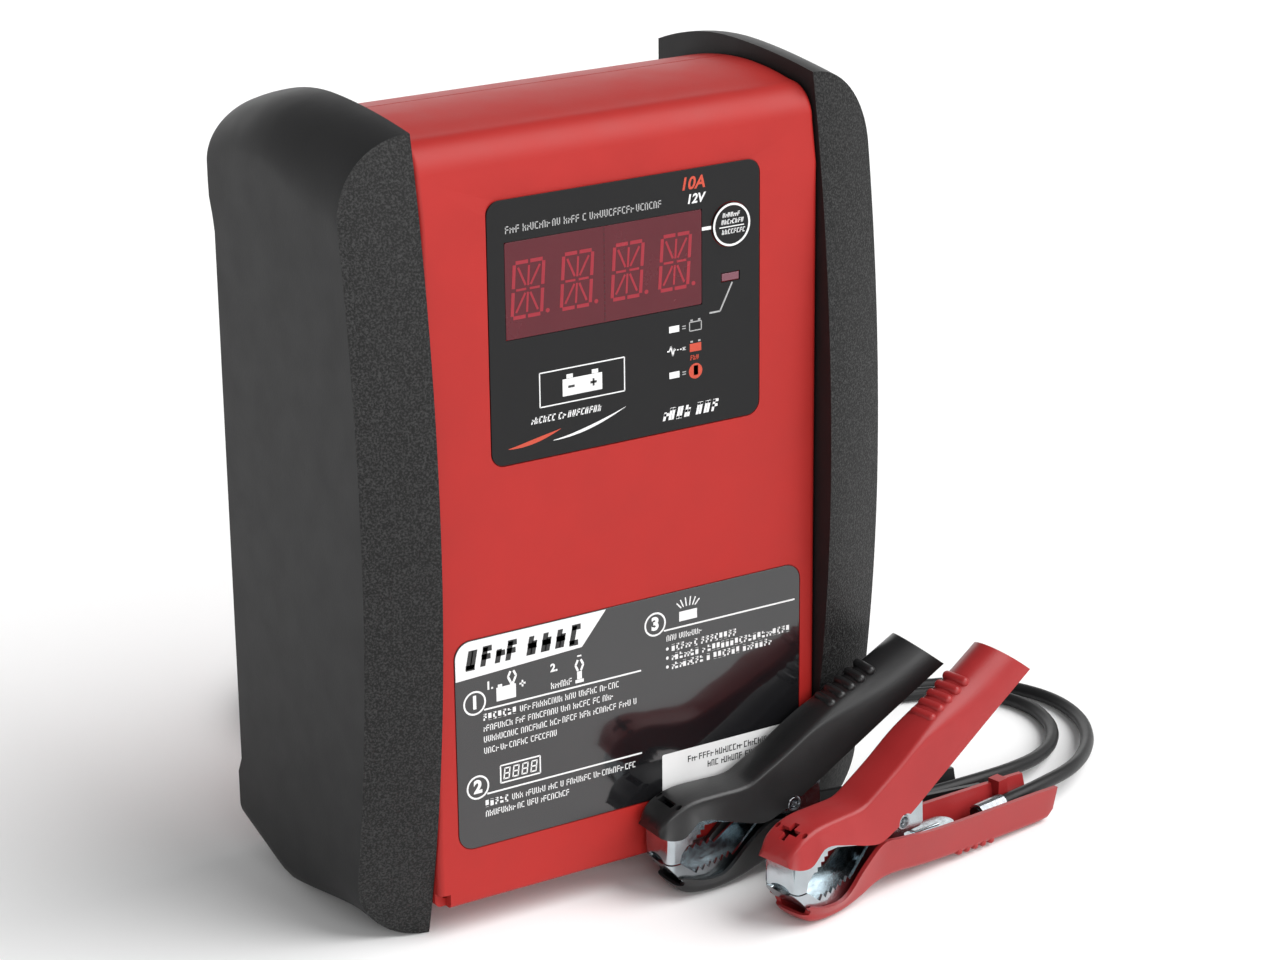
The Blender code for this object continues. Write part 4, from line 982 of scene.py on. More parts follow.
def panel_marks(low, high, front, window_x, window_z, status_x, status_z, button):
    marks = Print("panel_print", front)
    width = high.x - low.x

    def px(share):
        return low.x + width * share

    def pz(share):
        return low.z + (high.z - low.z) * share

    marks.glyphs("grey", window_x[0] + 0.3 * MM, window_z[1] + 2.6 * MM, 2.1 * MM,
                 (4, 7, 2, 4, 1, 11, 6), 0.0, 0.15, 3)
    marks.character("orange", "10A", px(0.745), pz(0.955) - 0.8 * MM, 3.6 * MM, 0.2, 0.12 * MM)
    marks.character("white", "12V", px(0.755), pz(0.895) - 0.8 * MM, 2.7 * MM, 0.2, 0.10 * MM)
    marks.bar("white", (window_x[1] + button.x - 6.6 * MM) / 2, button.z,
              button.x - 6.8 * MM - window_x[1], 1.0 * MM)
    middle = (status_x[0] + status_x[1]) / 2
    elbow = (middle - 3.6 * MM, status_z[0] - 8.6 * MM)
    marks.line("grey", (middle + 0.6 * MM, status_z[0] - 0.6 * MM), elbow, 0.5 * MM)
    marks.line("grey", elbow, (elbow[0] - 3.6 * MM, elbow[1]), 0.5 * MM)
    icon_x, rows = px(0.755), (pz(0.397), pz(0.314), pz(0.218))
    for i, z in enumerate(rows):
        left = icon_x - 7.2 * MM
        if i == 1:
            trace = [(-2.4, 0), (-1.6, 0), (-1.1, 1.4), (-0.5, -1.6), (0.0, 0.5), (0.4, 0)]
            trace = [(left + u * MM, z + v * MM) for u, v in trace]
            for a, b in zip(trace, trace[1:]):
                marks.line("white", a, b, 0.4 * MM)
            for k in range(3):
                marks.bar("white", left + (1.2 + k) * MM, z, 0.5 * MM, 0.35 * MM)
        else:
            marks.bar("white", left, z, 3.4 * MM, 1.9 * MM)
        for shift in (-0.35, 0.35):
            marks.bar("grey", icon_x - 3.9 * MM, z + shift * MM, 1.2 * MM, 0.28 * MM)
        if i < 2:
            battery_icon(marks, icon_x, z, filled=i == 1)
        else:
            marks.disc("orange", icon_x, z, 2.3 * MM, 20)
            marks.bar("white", icon_x + 0.1 * MM, z + 0.2 * MM, 1.5 * MM, 2.9 * MM)
    marks.glyphs("orange", icon_x - 1.8 * MM, rows[1] - 3.9 * MM, 1.4 * MM, (3,), 0.0, 0.2, 8)
    xs, zs = (px(0.176), px(0.487)), (pz(0.196), pz(0.327))
    marks.frame("white", xs, zs, 0.35 * MM)
    battery_picture(marks, (xs[0] + xs[1]) / 2, (zs[0] + zs[1]) / 2, zs[1] - zs[0])
    marks.glyphs("white", px(0.145), pz(0.137), 1.9 * MM, (6, 2, 8), 0.25, 0.2, 5)
    marks.glyphs("white", px(0.634), pz(0.045), 3.4 * MM, (4, 3), 0.25, 0.24, 6)
    swoosh(marks, px(0.06), pz(0.060))
    marks.make(CHARGER, "overlay_charcoal")


def battery_icon(marks, x, z, filled):
    ink = "orange" if filled else "grey"
    if filled:
        marks.bar(ink, x, z - 0.2 * MM, 3.9 * MM, 2.4 * MM)
    else:
        marks.frame(ink, (x - 2 * MM, x + 2 * MM), (z - 1.5 * MM, z + 1.1 * MM), 0.3 * MM)
    for side in (-1, 1):
        marks.bar("grey", x + side * 1.3 * MM, z + 1.6 * MM, 0.8 * MM, 0.5 * MM)


def battery_picture(marks, x, z, high):
    """A plain picture of a battery in the framed field."""
    wide = high * 1.3
    marks.bar("white", x, z - high * 0.06, wide, high * 0.50)
    for side in (-1, 1):
        marks.bar("white", x + side * wide * 0.32, z + high * 0.26, wide * 0.16, high * 0.12)
    panel_face, level = marks.front, z - high * 0.05
    marks.front -= OVERPRINT
    for side in (-1, 1):
        marks.bar("ink", x + side * wide * 0.28, level, wide * 0.16, high * 0.07)
    marks.bar("ink", x + wide * 0.28, level, wide * 0.045, high * 0.22)
    marks.front = panel_face


def swoosh(marks, x, z):
    """Two plain tapering arcs under the panel's text."""
    for ink, start, wide, high, rise in (("orange", 0.0, 17.0, 1.3, 3.0), ("white", 14.5, 24.0, 0.9, 5.6)):
        top, bottom = [], []
        for step in range(15):
            t = step / 14
            px = x + (start + wide * t) * MM
            pz = z + rise * (t**1.7) * MM
            half = high * math.sin(math.pi * min(1.0, t * 0.94 + 0.04)) * 0.5 * MM
            top.append((px, pz + half))
            bottom.append((px, pz - half))
        marks.add(ink, bottom + top[::-1])


def select_button(centre, front):
    """The round button: a shallow dished cap with its stem, printed with a ring and two short captions."""
    radius = 6.4 * MM
    profile = [(0.0, 0.12), (3.6, 0.10), (5.2, 0.03), (5.9, 0.0), (6.25, 0.06), (6.4, 0.22), (6.4, 0.70),
               (3.0, 0.70), (3.0, 8.9), (2.6, 9.0), (0.0, 9.0)]
    bm = turned(Vector((centre.x, front, centre.z)), profile, 64)
    button = mesh_object("button_cap", bm, LOOKS["overlay"], smooth=True, angle=50.0)
    finish(button, BUTTON, "black_plastic", "selector_button")
    marks = Print("button_print", front + 0.02 * MM, 0.10 * MM)
    marks.ring("white", centre.x, centre.z, radius - 0.1 * MM, 0.62 * MM, 56)
    marks.bar("white", centre.x, centre.z - 0.5 * MM, 8.4 * MM, 0.3 * MM)
    marks.front = front + 0.12 * MM
    for x, z, word, seed in ((-3.0, 2.3, 7, 11), (-3.4, 0.3, 8, 12), (-3.2, -2.6, 8, 13)):
        marks.glyphs("white", centre.x + x * MM, centre.z + z * MM, 1.35 * MM, (word,), 0.2, 0.2, seed)
    marks.make(BUTTON, "black_plastic")


# ---------------------------------------------------------------- quick start label


def quick_start_label():
    low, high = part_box("quick_start_label")
    front = low.y
    outline = rounded_rectangle((low.x, high.x), (low.z, high.z), 5 * MM, 10)
    film = flat_piece("label_film", outline, front, 0.3 * MM, LOOKS["label"], 0.08 * MM)
    finish(film, CHARGER, "label_film", "quick_start_label")
    marks = Print("label_print", front, 0.05 * MM)
    width, height = high.x - low.x, high.z - low.z

    def at(u, v):
        return low.x + width * u, high.z - height * v

    title_tab(marks, low, high, width)
    columns = ((0.075, 0.525), (0.585, 0.985))
    for u, v, end, text in ((0.052, 0.300, columns[0][1], "1"), (0.055, 0.708, columns[0][1], "2"),
                            (0.567, 0.134, columns[1][1], "3")):
        x, z = at(u, v)
        marks.ring("white", x, z, 3.7 * MM, 0.55 * MM)
        marks.character("white", text, x, z, 3.9 * MM, 0.0, 0.25 * MM)
        rule = z - 2.7 * MM
        marks.line("white", (x + 3.0 * MM, rule), (low.x + width * end, rule), 0.5 * MM)
    rows = (
        (0.075, 0.395, 2.0, ((7,), (3, 8, 3, 5, 2, 3)), 21),
        (0.075, 0.447, 2.0, ((), (8, 3, 8, 3, 5, 2, 3)), 22),
        (0.075, 0.500, 2.0, ((), (9, 7, 3, 4, 3, 7, 4, 1)), 23),
        (0.075, 0.555, 2.0, ((), (4, 2, 5, 7)), 24),
        (0.075, 0.812, 2.0, ((5,), (3, 6, 3, 1, 7, 2, 6, 3)), 25),
        (0.075, 0.862, 2.0, ((), (8, 2, 3, 8)), 26),
        (0.600, 0.231, 1.9, ((), (3, 7)), 27),
        (0.615, 0.284, 2.0, ((5, 1, 8), ()), 28),
        (0.615, 0.329, 2.0, ((7, 1, 19), ()), 29),
        (0.615, 0.373, 2.0, ((8, 1, 6, 7), ()), 30),
    )
    for u, v, size, (bold, light), seed in rows:
        x, z = at(u, v)
        if bold:
            x = marks.glyphs("white", x, z, size * MM, bold, 0.0, 0.26, seed)
        if light:
            marks.glyphs("white", x, z, size * MM * 0.95, light, 0.0, 0.14, seed + 40)
    for v in (0.284, 0.329, 0.373):
        x, z = at(0.602, v)
        marks.disc("white", x, z + MM, 0.5 * MM, 10)
    label_icons(marks, at)
    x0, z0 = at(0.585, 0.975)
    x1, z1 = at(0.985, 0.79)
    marks.add("white", rounded_rectangle((x0, x1), (z0, z1), 0.5 * MM, 2))
    marks.front -= OVERPRINT
    marks.glyphs("ink", x0 + 9 * MM, z1 - 4.4 * MM, 2.0 * MM, (3, 4, 8, 9), 0.0, 0.15, 51)
    marks.glyphs("ink", x0 + 16 * MM, z1 - 7.6 * MM, 2.0 * MM, (3, 6, 6), 0.0, 0.15, 52)
    marks.make(CHARGER, "label_film")


def title_tab(marks, low, high, width):
    """The white corner tab with a slanted end and bold dark marks."""
    radius, bottom = 5 * MM, high.z - 11.6 * MM
    x, edge = low.x + 0.2 * MM, low.x + width * 0.355
    top = high.z - 0.2 * MM
    outline = [(x, bottom), (edge, bottom + 1.6 * MM), (low.x + width * 0.425, top)]
    outline += arc(x + radius, top - radius, radius, 90, 180, 8)
    marks.add("white", outline)
    marks.front -= OVERPRINT
    marks.glyphs("ink", low.x + 4.0 * MM, bottom + 3.0 * MM, 5.6 * MM, (4, 4), 0.2, 0.30, 61)
    marks.front += OVERPRINT


def label_icons(marks, at):
    x, z = at(0.140, 0.285)
    marks.bar("white", x, z, 6.4 * MM, 4.2 * MM)
    for side in (-1, 1):
        marks.bar("white", x + side * 2.0 * MM, z + 2.5 * MM, 1.4 * MM, 0.9 * MM)
    clamp_icon(marks, x + 2.0 * MM, z + 4.4 * MM)
    plus_x, plus_z = x + 5.4 * MM, z + 1.6 * MM
    for wide, high in ((2.0, 0.55), (0.55, 2.0)):
        marks.bar("white", plus_x, plus_z, wide * MM, high * MM)
    x, z = at(0.347, 0.305)
    clamp_icon(marks, x, z + 4.0 * MM)
    marks.bar("white", x, z + 1.0 * MM, 1.6 * MM, 2.4 * MM)
    marks.bar("white", x, z - 0.8 * MM, 2.8 * MM, 1.0 * MM)
    marks.bar("white", x, z + 7.0 * MM, 1.4 * MM, 0.45 * MM)
    marks.glyphs("white", x - 9.6 * MM, z - 1.2 * MM, 2.0 * MM, (6,), 0.0, 0.15, 71)
    marks.character("white", "1.", *at(0.094, 0.234), 2.4 * MM, 0.0, 0.12 * MM)
    marks.character("white", "2.", *at(0.275, 0.224), 2.4 * MM, 0.0, 0.12 * MM)
    x, z = at(0.175, 0.674)
    marks.frame("white", (x - 6.6 * MM, x + 6.6 * MM), (z - 2.7 * MM, z + 2.7 * MM), 0.45 * MM)
    for i in range(4):
        eight(marks, x + (-4.5 + 3.0 * i) * MM, z)
    x, z = at(0.664, 0.125)
    marks.bar("white", x, z, 6.2 * MM, 3.0 * MM)
    for i in range(6):
        angle = math.radians(38 + 21 * i)
        start = (x + 3.0 * MM * math.cos(angle), z + 2.3 * MM + 0.6 * MM * math.sin(angle))
        end = (x + 5.0 * MM * math.cos(angle), z + 2.3 * MM + 3.4 * MM * math.sin(angle))
        marks.line("white", start, end, 0.4 * MM)


def clamp_icon(marks, x, z):
    for side in (-1, 1):
        bow = (x + side * 1.3 * MM, z + 0.2 * MM)
        marks.line("white", (x + side * 0.5 * MM, z - 1.6 * MM), bow, 0.7 * MM)
        marks.line("white", bow, (x + side * 0.5 * MM, z + 1.8 * MM), 0.7 * MM)


def eight(marks, x, z):
    lean = 0.12
    for level in (-1, 0, 1):
        marks.bar("white", x + lean * level * 1.6 * MM, z + level * 1.6 * MM, 1.7 * MM, 0.4 * MM)
    for side in (-1, 1):
        marks.bar("white", x + side * 0.85 * MM, z, 0.4 * MM, 3.4 * MM, lean)


# ---------------------------------------------------------------- clamps

PIVOT_X, PIVOT_Z = 46.8, 22.0
CLAMP_PIVOT = Vector((PIVOT_X, 0.0, PIVOT_Z)) * MM
CLAMPS = {
    "positive": {"nose": Vector((17.8, -85.8, 0.0)) * MM, "turn": math.radians(10.5)},
    "negative": {"nose": Vector((-0.9, -48.0, 0.0)) * MM, "turn": math.radians(-1.0)},
}
TAIL_LEAN = 10.9
HANDLE_WALL = 1.5
# x, ridge height, edge height, half width at the ridge, half width at the edge
UPPER_STATIONS = (
    (1.0, 25.2, 21.4, 6.2, 7.6), (4.0, 27.6, 20.6, 6.8, 8.4), (8.0, 29.6, 20.8, 7.0, 8.8),
    (13.0, 30.8, 24.9, 7.0, 9.0), (22.0, 31.0, 23.0, 6.8, 9.0), (31.0, 31.3, 20.0, 6.6, 9.0),
    (37.0, 34.2, 19.2, 6.6, 9.0), (46.0, 39.3, 23.8, 6.6, 9.1), (58.0, 46.9, 32.6, 6.7, 9.2),
    (78.0, 57.8, 47.5, 6.8, 9.4), (89.6, 64.1, 56.0, 6.9, 9.6),
)
LOWER_STATIONS = (
    (6.0, 3.9, 7.6, 6.0, 8.2), (9.0, 1.7, 7.2, 6.8, 8.7), (14.0, 0.5, 5.8, 7.2, 9.0),
    (22.0, 0.5, 6.2, 7.2, 9.0), (30.0, 2.0, 13.2, 6.9, 9.0), (37.5, 4.3, 18.4, 6.6, 9.0),
    (44.0, 4.9, 17.8, 6.6, 9.0), (60.0, 3.2, 15.6, 6.6, 9.0), (85.0, 1.6, 13.8, 6.6, 8.6),
    (106.0, 0.6, 12.4, 6.6, 8.2), (113.5, 0.6, 11.8, 6.6, 8.1), (115.4, 1.0, 11.65, 6.6, 8.0),
    (116.2, 2.2, 11.6, 6.5, 8.0),
)
RIB_SLOPE = math.atan(0.55)


def section(x, ridge, edge, half_ridge, half_edge, inset=0.0):
    """A handle's cross-section from one edge over the ridge to the other, set in by inset: straight flanks
    and a round shoulder under a nearly flat back, which becomes an arch towards the upper handle's tail."""
    way = 1.0 if ridge > edge else -1.0
    rise = (ridge - edge) * way
    lean = TAIL_LEAN * max(0.0, (x - 40) / 54) if way > 0 else 0.0
    arched = 0.95 * smooth_step(x, 50, 82) if way > 0 else 0.0
    top, half_ridge, half_edge = rise - inset, half_ridge - inset, half_edge - inset
    shoulder = min(1.7 if way > 0 else 2.4, top * 0.6)
    crisp = [(half_edge + (half_ridge - half_edge) * k / 4, (top - shoulder) * k / 4) for k in range(5)]
    for step in range(1, 7):
        angle = math.pi / 2 * step / 6
        crisp.append((half_ridge - shoulder * (1 - math.cos(angle)), top - shoulder * (1 - math.sin(angle))))
    crisp.append((half_ridge * 0.36, top + 0.28))
    side = []
    for k, (y, h) in enumerate(crisp):
        angle = math.pi / 2 * k / len(crisp)
        arch_y, arch_h = half_edge * math.cos(angle), top * math.sin(angle)
        side.append((y + (arch_y - y) * arched, h + (arch_h - h) * arched))
    ring = side + [(0.0, top + 0.35 * (1 - arched))] + [(-y, h) for y, h in reversed(side)]
    return [Vector((x + lean * (1 - h / rise), y, edge + way * h)) * MM for y, h in ring]


def handle_shell(name, stations, material, nose):
    """A channel-shaped handle: an outer and an inner skin joined along the rim, closed at its nose."""
    first, last = stations[0][0], stations[-1][0]
    count = 56
    places = [first + (last - first) * (step / count) ** 1.12 for step in range(count + 1)]
    rows = [spline_value(stations, x) for x in places]
    outer, inner = [], []
    wall_start = next(i for i, x in enumerate(places) if x > first + 1.5)
    for i, (x, row) in enumerate(zip(places, rows)):
        ridge, edge, half_ridge, half_edge = row
        t = max(0.0, 1 - (x - first) / nose)
        squeeze = math.sqrt(max(0.0, 1 - t**2.4)) * 0.16 + 0.84
        drop = (1 - math.sqrt(max(0.0, 1 - t**2.2))) * 1.6 * (1 if ridge > edge else -1)
        form = (x, ridge - drop, edge, half_ridge * squeeze, half_edge * squeeze)
        outer.append(section(*form))
        if i >= wall_start:
            inner.append(section(*form, HANDLE_WALL))
    bm = bmesh.new()
    out = [[bm.verts.new(p) for p in ring] for ring in outer]
    into = [[bm.verts.new(p) for p in ring] for ring in inner]
    width = len(out[0])
    for grid in (out, into):
        for near, far in zip(grid, grid[1:]):
            for i in range(width - 1):
                bm.faces.new((near[i], near[i + 1], far[i + 1], far[i]))
    for i in range(width - 1):
        bm.faces.new((out[-1][i], out[-1][i + 1], into[-1][i + 1], into[-1][i]))
    for k in (0, -1):
        rims = zip(out[wall_start:], out[wall_start + 1:], into[1:], into)
        for near, far, far_in, near_in in rims:
            bm.faces.new((near[k], far[k], far_in[k], near_in[k]))
    nose_rows = out[:wall_start + 1]
    bm.faces.new(out[0])
    bm.faces.new([*[row[0] for row in nose_rows], *into[0], *[row[-1] for row in nose_rows[::-1]]])
    bmesh.ops.triangulate(bm, faces=[face for face in bm.faces if len(face.verts) > 4])
    bmesh.ops.recalc_face_normals(bm, faces=bm.faces)
    return mesh_object(name, bm, material, smooth=True, angle=42.0)


def in_mm(points):
    return [(u * MM, v * MM) for u, v in points]


def side_plate(bm, outline, half_width):
    prism_mesh(bm, in_mm(outline), (0, half_width * MM, 0), (1, 0, 0), (0, 0, 1), 2 * half_width * MM)


def toothed(points, start, end, count, height):
    (x0, z0), (x1, z1) = start, end
    along = math.hypot(x1 - x0, z1 - z0)
    nx, nz = -(z1 - z0) / along * height, (x1 - x0) / along * height
    for i in range(count):
        near, peak = i / count, (i + 0.5) / count
        points.append((x0 + (x1 - x0) * near, z0 + (z1 - z0) * near))
        points.append((x0 + (x1 - x0) * peak + nx, z0 + (z1 - z0) * peak + nz))
    points.append((x1, z1))


JAW_SHEET = 0.9
UPPER_JAW_FRONT, UPPER_JAW_HALF = 7.2, 5.4  # half widths of the front plate and of the cheeks behind it
LOWER_JAW_FRONT, LOWER_JAW_HALF = 7.0, 4.3
PLATE_HALF = 9.0  # half the width from which a jaw is cut


def lens_cutter(bm):
    """The lens-shaped window where the two front plates meet."""
    prism_mesh(bm, in_mm(circle(0.0, 12.0, 4.0, 24, 1.7)), (0, 0, 0), (0, 1, 0), (0, 0, 1), 9 * MM)


def jaw_plan(front, back, shrink=0.0):
    """A jaw's outline from above: a wide front plate with round corners, and narrower cheeks behind it."""
    def build(bm):
        if shrink:
            side = [(2.0, front - shrink)]
        else:
            side = [(3.3 + 2.2 * (1 - math.cos(turn)), front - 2.2 * (1 - math.sin(turn)))
                    for turn in (math.pi / 2 * k / 5 for k in range(6))]
        side += [(16.0, front - shrink), (38.0, back - shrink), (80.0, back - shrink)]
        outline = side + [(x, -y) for x, y in reversed(side)]
        prism_mesh(bm, in_mm(outline), (0, 0, -5 * MM), (1, 0, 0), (0, 1, 0), 70 * MM)
    return build


def folded_jaw(name, material, outline, hollow, front, back):
    """A jaw of folded sheet: its side outline cut to its plan, with the room inside it taken out."""
    jaw = helper(name, lambda bm: side_plate(bm, outline, PLATE_HALF))
    jaw.data.materials.append(material)
    carve(jaw, helper("plan", jaw_plan(front, back)), operation="INTERSECT")
    room = helper("hollow", lambda bm: side_plate(bm, hollow, PLATE_HALF))
    carve(room, helper("room", jaw_plan(front, back, JAW_SHEET)), operation="INTERSECT")
    return carve(jaw, room, helper("lens", lens_cutter), helper("pivot", pivot_hole))


def upper_jaw(name, material):
    outline = [(3.3, 12.3), (7.0, 12.3), (7.6, 15.0)]
    toothed(outline, (10.0, 17.6), (15.5, 22.6), 4, -1.1)
    outline += [(20.0, 22.4), (30.0, 19.4), (37.0, 17.2)]
    outline += arc(PIVOT_X, PIVOT_Z, 5.4, 220, 280, 8)
    outline += [(56.6, 16.9), (57.8, 18.0), (57.4, 27.0), (60.0, 38.0), (58.8, 41.2), (46.2, 34.4),
                (37.0, 29.2), (31.0, 27.2), (22.0, 26.9), (13.0, 26.7), (8.0, 25.0), (5.6, 23.0), (3.3, 20.0)]
    hollow = [(3.3 + JAW_SHEET, 8.0), (70.0, 8.0), (70.0, 46.4), (46.7, 33.6), (37.4, 28.2), (31.0, 26.2),
              (22.0, 25.9), (13.2, 25.7), (8.5, 24.1), (6.3, 22.4), (4.3, 19.7)]
    return shade(folded_jaw(name, material, outline, hollow, UPPER_JAW_FRONT, UPPER_JAW_HALF), 40.0)


def pivot_hole(bm):
    rod_mesh(bm, CLAMP_PIVOT - Vector((0, 12 * MM, 0)), (0, 1, 0), 24 * MM, 1.75 * MM, sides=24)


def lower_jaw(name, material):
    outline = [(9.4, 5.0), (10.2, 5.0), (14.0, 3.9), (22.0, 3.9), (29.4, 5.6), (37.0, 7.9), (44.0, 8.2),
               (52.0, 7.6)]
    outline += arc(PIVOT_X, PIVOT_Z, 5.0, -40, 160, 16)
    outline += [(36.0, 17.4), (30.6, 13.0)]
    toothed(outline, (26.4, 9.6), (12.8, 7.6), 6, -1.6)
    outline += [(7.6, 11.7), (3.2, 11.7), (7.9, 6.2)]
    hollow = [(8.6, 7.4), (10.6, 6.1), (14.4, 4.9), (21.8, 4.9), (29.0, 6.6), (36.8, 8.9), (44.0, 9.2),
              (60.0, 8.4), (60.0, 30.0), (4.9, 30.0), (4.9, 12.5), (4.5, 11.7)]
    jaw = folded_jaw(name, material, outline, hollow, LOWER_JAW_FRONT, LOWER_JAW_HALF)
    carve(jaw, helper("tang", tang_plate), operation="UNION")
    return shade(jaw, 40.0)


def tang_plate(bm):
    """The flat tang that the spring's leg lies on, with a round end."""
    start, end, half = 45.0, 76.0, 3.6
    outline = [(start, -half), *arc(end - half, 0.0, half, -90, 90, 10), (start, half)]
    tilt = Vector((1.0, 0.0, -0.052)).normalized()
    prism_mesh(bm, in_mm(outline), (0, 0, 14.4 * MM), tilt, (0, 1, 0), JAW_SHEET * MM)


def capsule_bar(bm, centre, half_length, radius, tilt):
    """A rounded rib lying across the handle, pressed a little flat."""
    made = bmesh.ops.create_uvsphere(bm, u_segments=16, v_segments=10, radius=radius)["verts"]
    for vert in made:
        vert.co.y += half_length * (1 if vert.co.y > 1e-7 else -1 if vert.co.y < -1e-7 else 0)
    turn = Matrix.Rotation(-tilt, 4, "Y")
    bmesh.ops.transform(bm, matrix=Matrix.Translation(centre) @ turn, verts=made)


def grip_ribs(name, material):
    """Five bars across the back of the upper handle, close together."""
    bm = bmesh.new()
    for i in range(5):
        x = 63.0 + 3.5 * i
        ridge = spline_value(UPPER_STATIONS, x)[0]
        capsule_bar(bm, Vector((x, 0, ridge - 0.7)) * MM, 3.2 * MM, 1.6 * MM, RIB_SLOPE)
    return mesh_object(name, bm, material, smooth=True, angle=80.0)


def heel_ribs(name, material):
    """Small bars along the lower handle's foot."""
    bm = bmesh.new()
    for i in range(5):
        x = 74.0 + 3.6 * i
        row = spline_value(LOWER_STATIONS, x)
        for side in (-1, 1):
            centre = Vector((x, side * (row[2] - 2.6), row[0] + 0.6)) * MM
            capsule_bar(bm, centre, 1.4 * MM, 1.2 * MM, 0.0)
    return mesh_object(name, bm, material, smooth=True, angle=80.0)


def rivet(name, material):
    """The pivot rivet, with a rolled head and a hollow end on each side."""
    half = [(0.0, 6.7), (0.7, 6.7), (0.8, 7.3), (1.05, 7.6), (1.2, 7.3), (1.35, 7.1), (1.5, 7.5), (1.75, 8.1),
            (2.15, 8.1), (2.5, 7.6), (2.55, 7.0), (2.3, 6.4), (1.45, 6.2)]
    whole = half + [(r, -y) for r, y in reversed(half)]
    return mesh_object(name, turned(CLAMP_PIVOT, whole, 32), material, smooth=True, angle=60.0)


def spring_wire(name, material):
    """Wire wound round the rivet, with a leg into each handle."""
    side = 2.2
    points = [(68.0, -side, 12.6), (58.0, -side, 13.1)]
    turns = arc(PIVOT_X, PIVOT_Z, 3.0, -60, 840, 40)  # two and a half turns
    points += [(x, side * (i / 20 - 1), z) for i, (x, z) in enumerate(turns)]
    points += [(52.0, side, 30.4), (62.0, side, 36.2)]
    curve = cord_curve(name, [Vector(p) * MM for p in points], 1.2 * MM, material)
    curve.data.bevel_resolution = 3
    graph = bpy.context.evaluated_depsgraph_get()
    mesh = bpy.data.meshes.new_from_object(curve.evaluated_get(graph))
    bpy.data.objects.remove(curve)
    bm = bmesh.new()
    bm.from_mesh(mesh)
    bmesh.ops.remove_doubles(bm, verts=bm.verts, dist=1e-6)
    bpy.data.meshes.remove(mesh)
    return mesh_object(name, bm, material, smooth=True, angle=60.0)


def polarity_cutter(pole):
    """A sunk plus or minus on the sloping nose, with a sunk pip at each side of it."""
    def build(bm):
        short, long = 1.05, 3.6
        if pole == "negative":
            shapes = [[(-short, -long), (short, -long), (short, long), (-short, long)]]
        else:
            shapes = [[(short, short), (long, short), (long, -short), (short, -short), (short, -long),
                       (-short, -long), (-short, -short), (-long, -short), (-long, short), (-short, short),
                       (-short, long), (short, long)]]
        shapes += [circle(0.6, y, 1.2, 12, 0.8) for y in (-5.4, 5.4)]
        across = Vector((1.0, 0.0, 0.40)).normalized()
        for shape in shapes:
            prism_mesh(bm, in_mm(shape), Vector((7.6, 0, 27.9)) * MM, across, (0, 1, 0), 5 * MM)
    return build


def nose_slot(bm):
    """The slot in the lower handle's nose, through which the jaw's front plate runs down."""
    box_mesh(bm, Vector((-1.0, -7.4, 4.4)) * MM, Vector((8.6, 7.4, 12.0)) * MM)


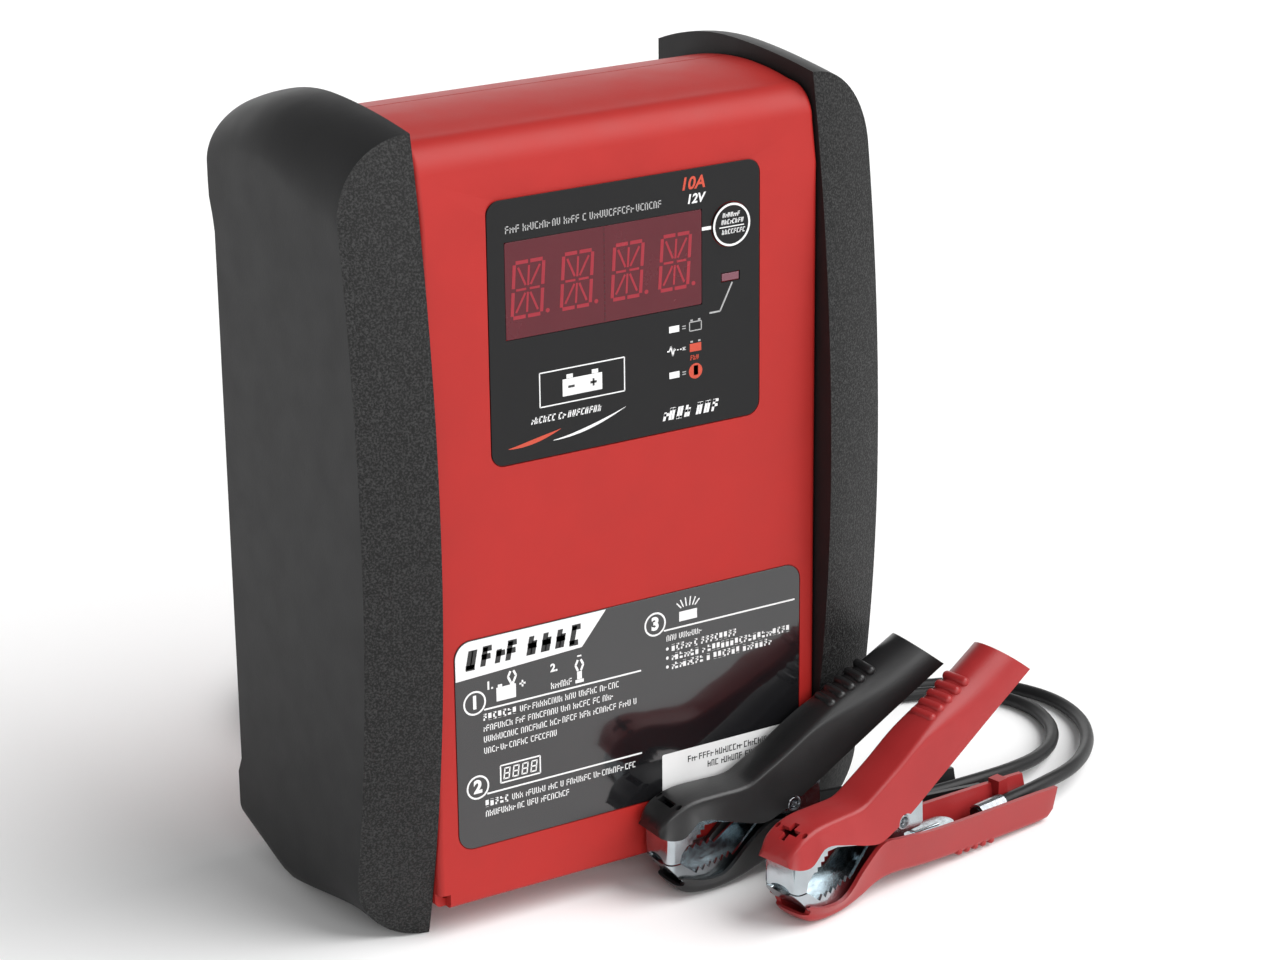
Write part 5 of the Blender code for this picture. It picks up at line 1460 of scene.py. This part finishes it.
def clamp(pole):
    plastic = LOOKS["clamp_red" if pole == "positive" else "clamp_black"]
    slot = "clamp_red" if pole == "positive" else "black_plastic"
    place = Matrix.Translation(CLAMPS[pole]["nose"]) @ Matrix.Rotation(CLAMPS[pole]["turn"], 4, "Z")
    upper, lower = UPPER_HALF[pole], CHARGER

    handle = handle_shell(f"{pole}_upper_handle_shell", UPPER_STATIONS, plastic, 4.2)
    carve(handle, helper("polarity", polarity_cutter(pole)), helper("rivet_room", rivet_room))
    shade(handle, 42.0)
    base = handle_shell(f"{pole}_lower_handle_shell", LOWER_STATIONS, plastic, 5.0)
    carve(base, helper("nose_slot", nose_slot))
    carve(base, helper("tab", tab_block), operation="UNION")
    shade(base, 42.0)
    pieces = [
        (handle, upper, slot, [f"{pole}_upper_handle"]),
        (base, lower, slot, [f"{pole}_lower_handle"]),
        (upper_jaw(f"{pole}_upper_jaw_plate", LOOKS["zinc"]), upper, "zinc_steel", [f"{pole}_upper_jaw"]),
        (lower_jaw(f"{pole}_lower_jaw_plate", LOOKS["zinc"]), lower, "zinc_steel", [f"{pole}_lower_jaw"]),
        (rivet(f"{pole}_rivet", LOOKS["rivet"]), lower, "zinc_steel", [f"{pole}_pivot_rivet"]),
        (grip_ribs(f"{pole}_grip_ribs", plastic), upper, slot, []),
        (heel_ribs(f"{pole}_heel_ribs", plastic), lower, slot, []),
    ]
    for piece, body, look, nodes in pieces:
        piece.data.transform(place)
        finish(piece, body, look, *nodes)
    spring = spring_wire(f"{pole}_spring_wire", LOOKS["zinc"])
    spring.data.transform(place)
    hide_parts(f"{pole}_torsion_spring")
    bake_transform(spring)


def rivet_room(bm):
    for side in (-1, 1):
        start = CLAMP_PIVOT + Vector((0, side * 6.5 * MM, 0))
        rod_mesh(bm, start, (0, side, 0), 5 * MM, 3.0 * MM)


def tab_block(bm):
    """A small wall at the far side of the lower handle's tail."""
    box_mesh(bm, Vector((102.0, 3.6, 3.0)) * MM, Vector((106.0, 7.9, 14.0)) * MM)


# ---------------------------------------------------------------- CAD nodes that stay


def dress(node, look):
    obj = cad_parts[node]
    obj.data.materials.clear()
    obj.data.materials.append(LOOKS[look])
    obj.data.shade_smooth()
    obj.data.set_sharp_from_angle(angle=math.radians(32))


def dress_nodes():
    looks = {
        "switch_plunger": "black", "tactile_switch": "aluminium", "display_board": "board",
        "digit_module_left": "black", "digit_module_right": "black", "main_board": "board",
        "transformer_core": "ferrite", "transformer_winding": "copper", "heat_sink": "aluminium",
        "power_transistor_1": "black", "power_transistor_2": "black", "mains_capacitor": "sleeve",
        "output_capacitor": "sleeve", "output_choke": "copper", "mains_fuse": "aluminium",
        "mains_cord_gland": "rubber", "dc_cord_gland": "rubber", "lead_splitter": "rubber",
        "positive_cable_crimp": "rivet", "negative_cable_crimp": "rivet",
    }
    looks.update({f"rear_cover_screw_{i}": "zinc_dull" for i in range(1, 5)})
    looks.update({f"{side}_cap_screw_{i}": "zinc_dull" for side in ("left", "right") for i in (1, 2)})
    for node, look in looks.items():
        dress(node, look)


LOOKS = make_materials()
add_camera()
add_studio()
dress_nodes()
for clamp_pole in CLAMPS:
    clamp(clamp_pole)
add_cords()
front_shell()
rear_cover()
side_cap(-1, "left_cap_moulding", "left_side_cap")
side_cap(1, "right_cap_moulding", "right_side_cap")
display_panel()
quick_start_label()
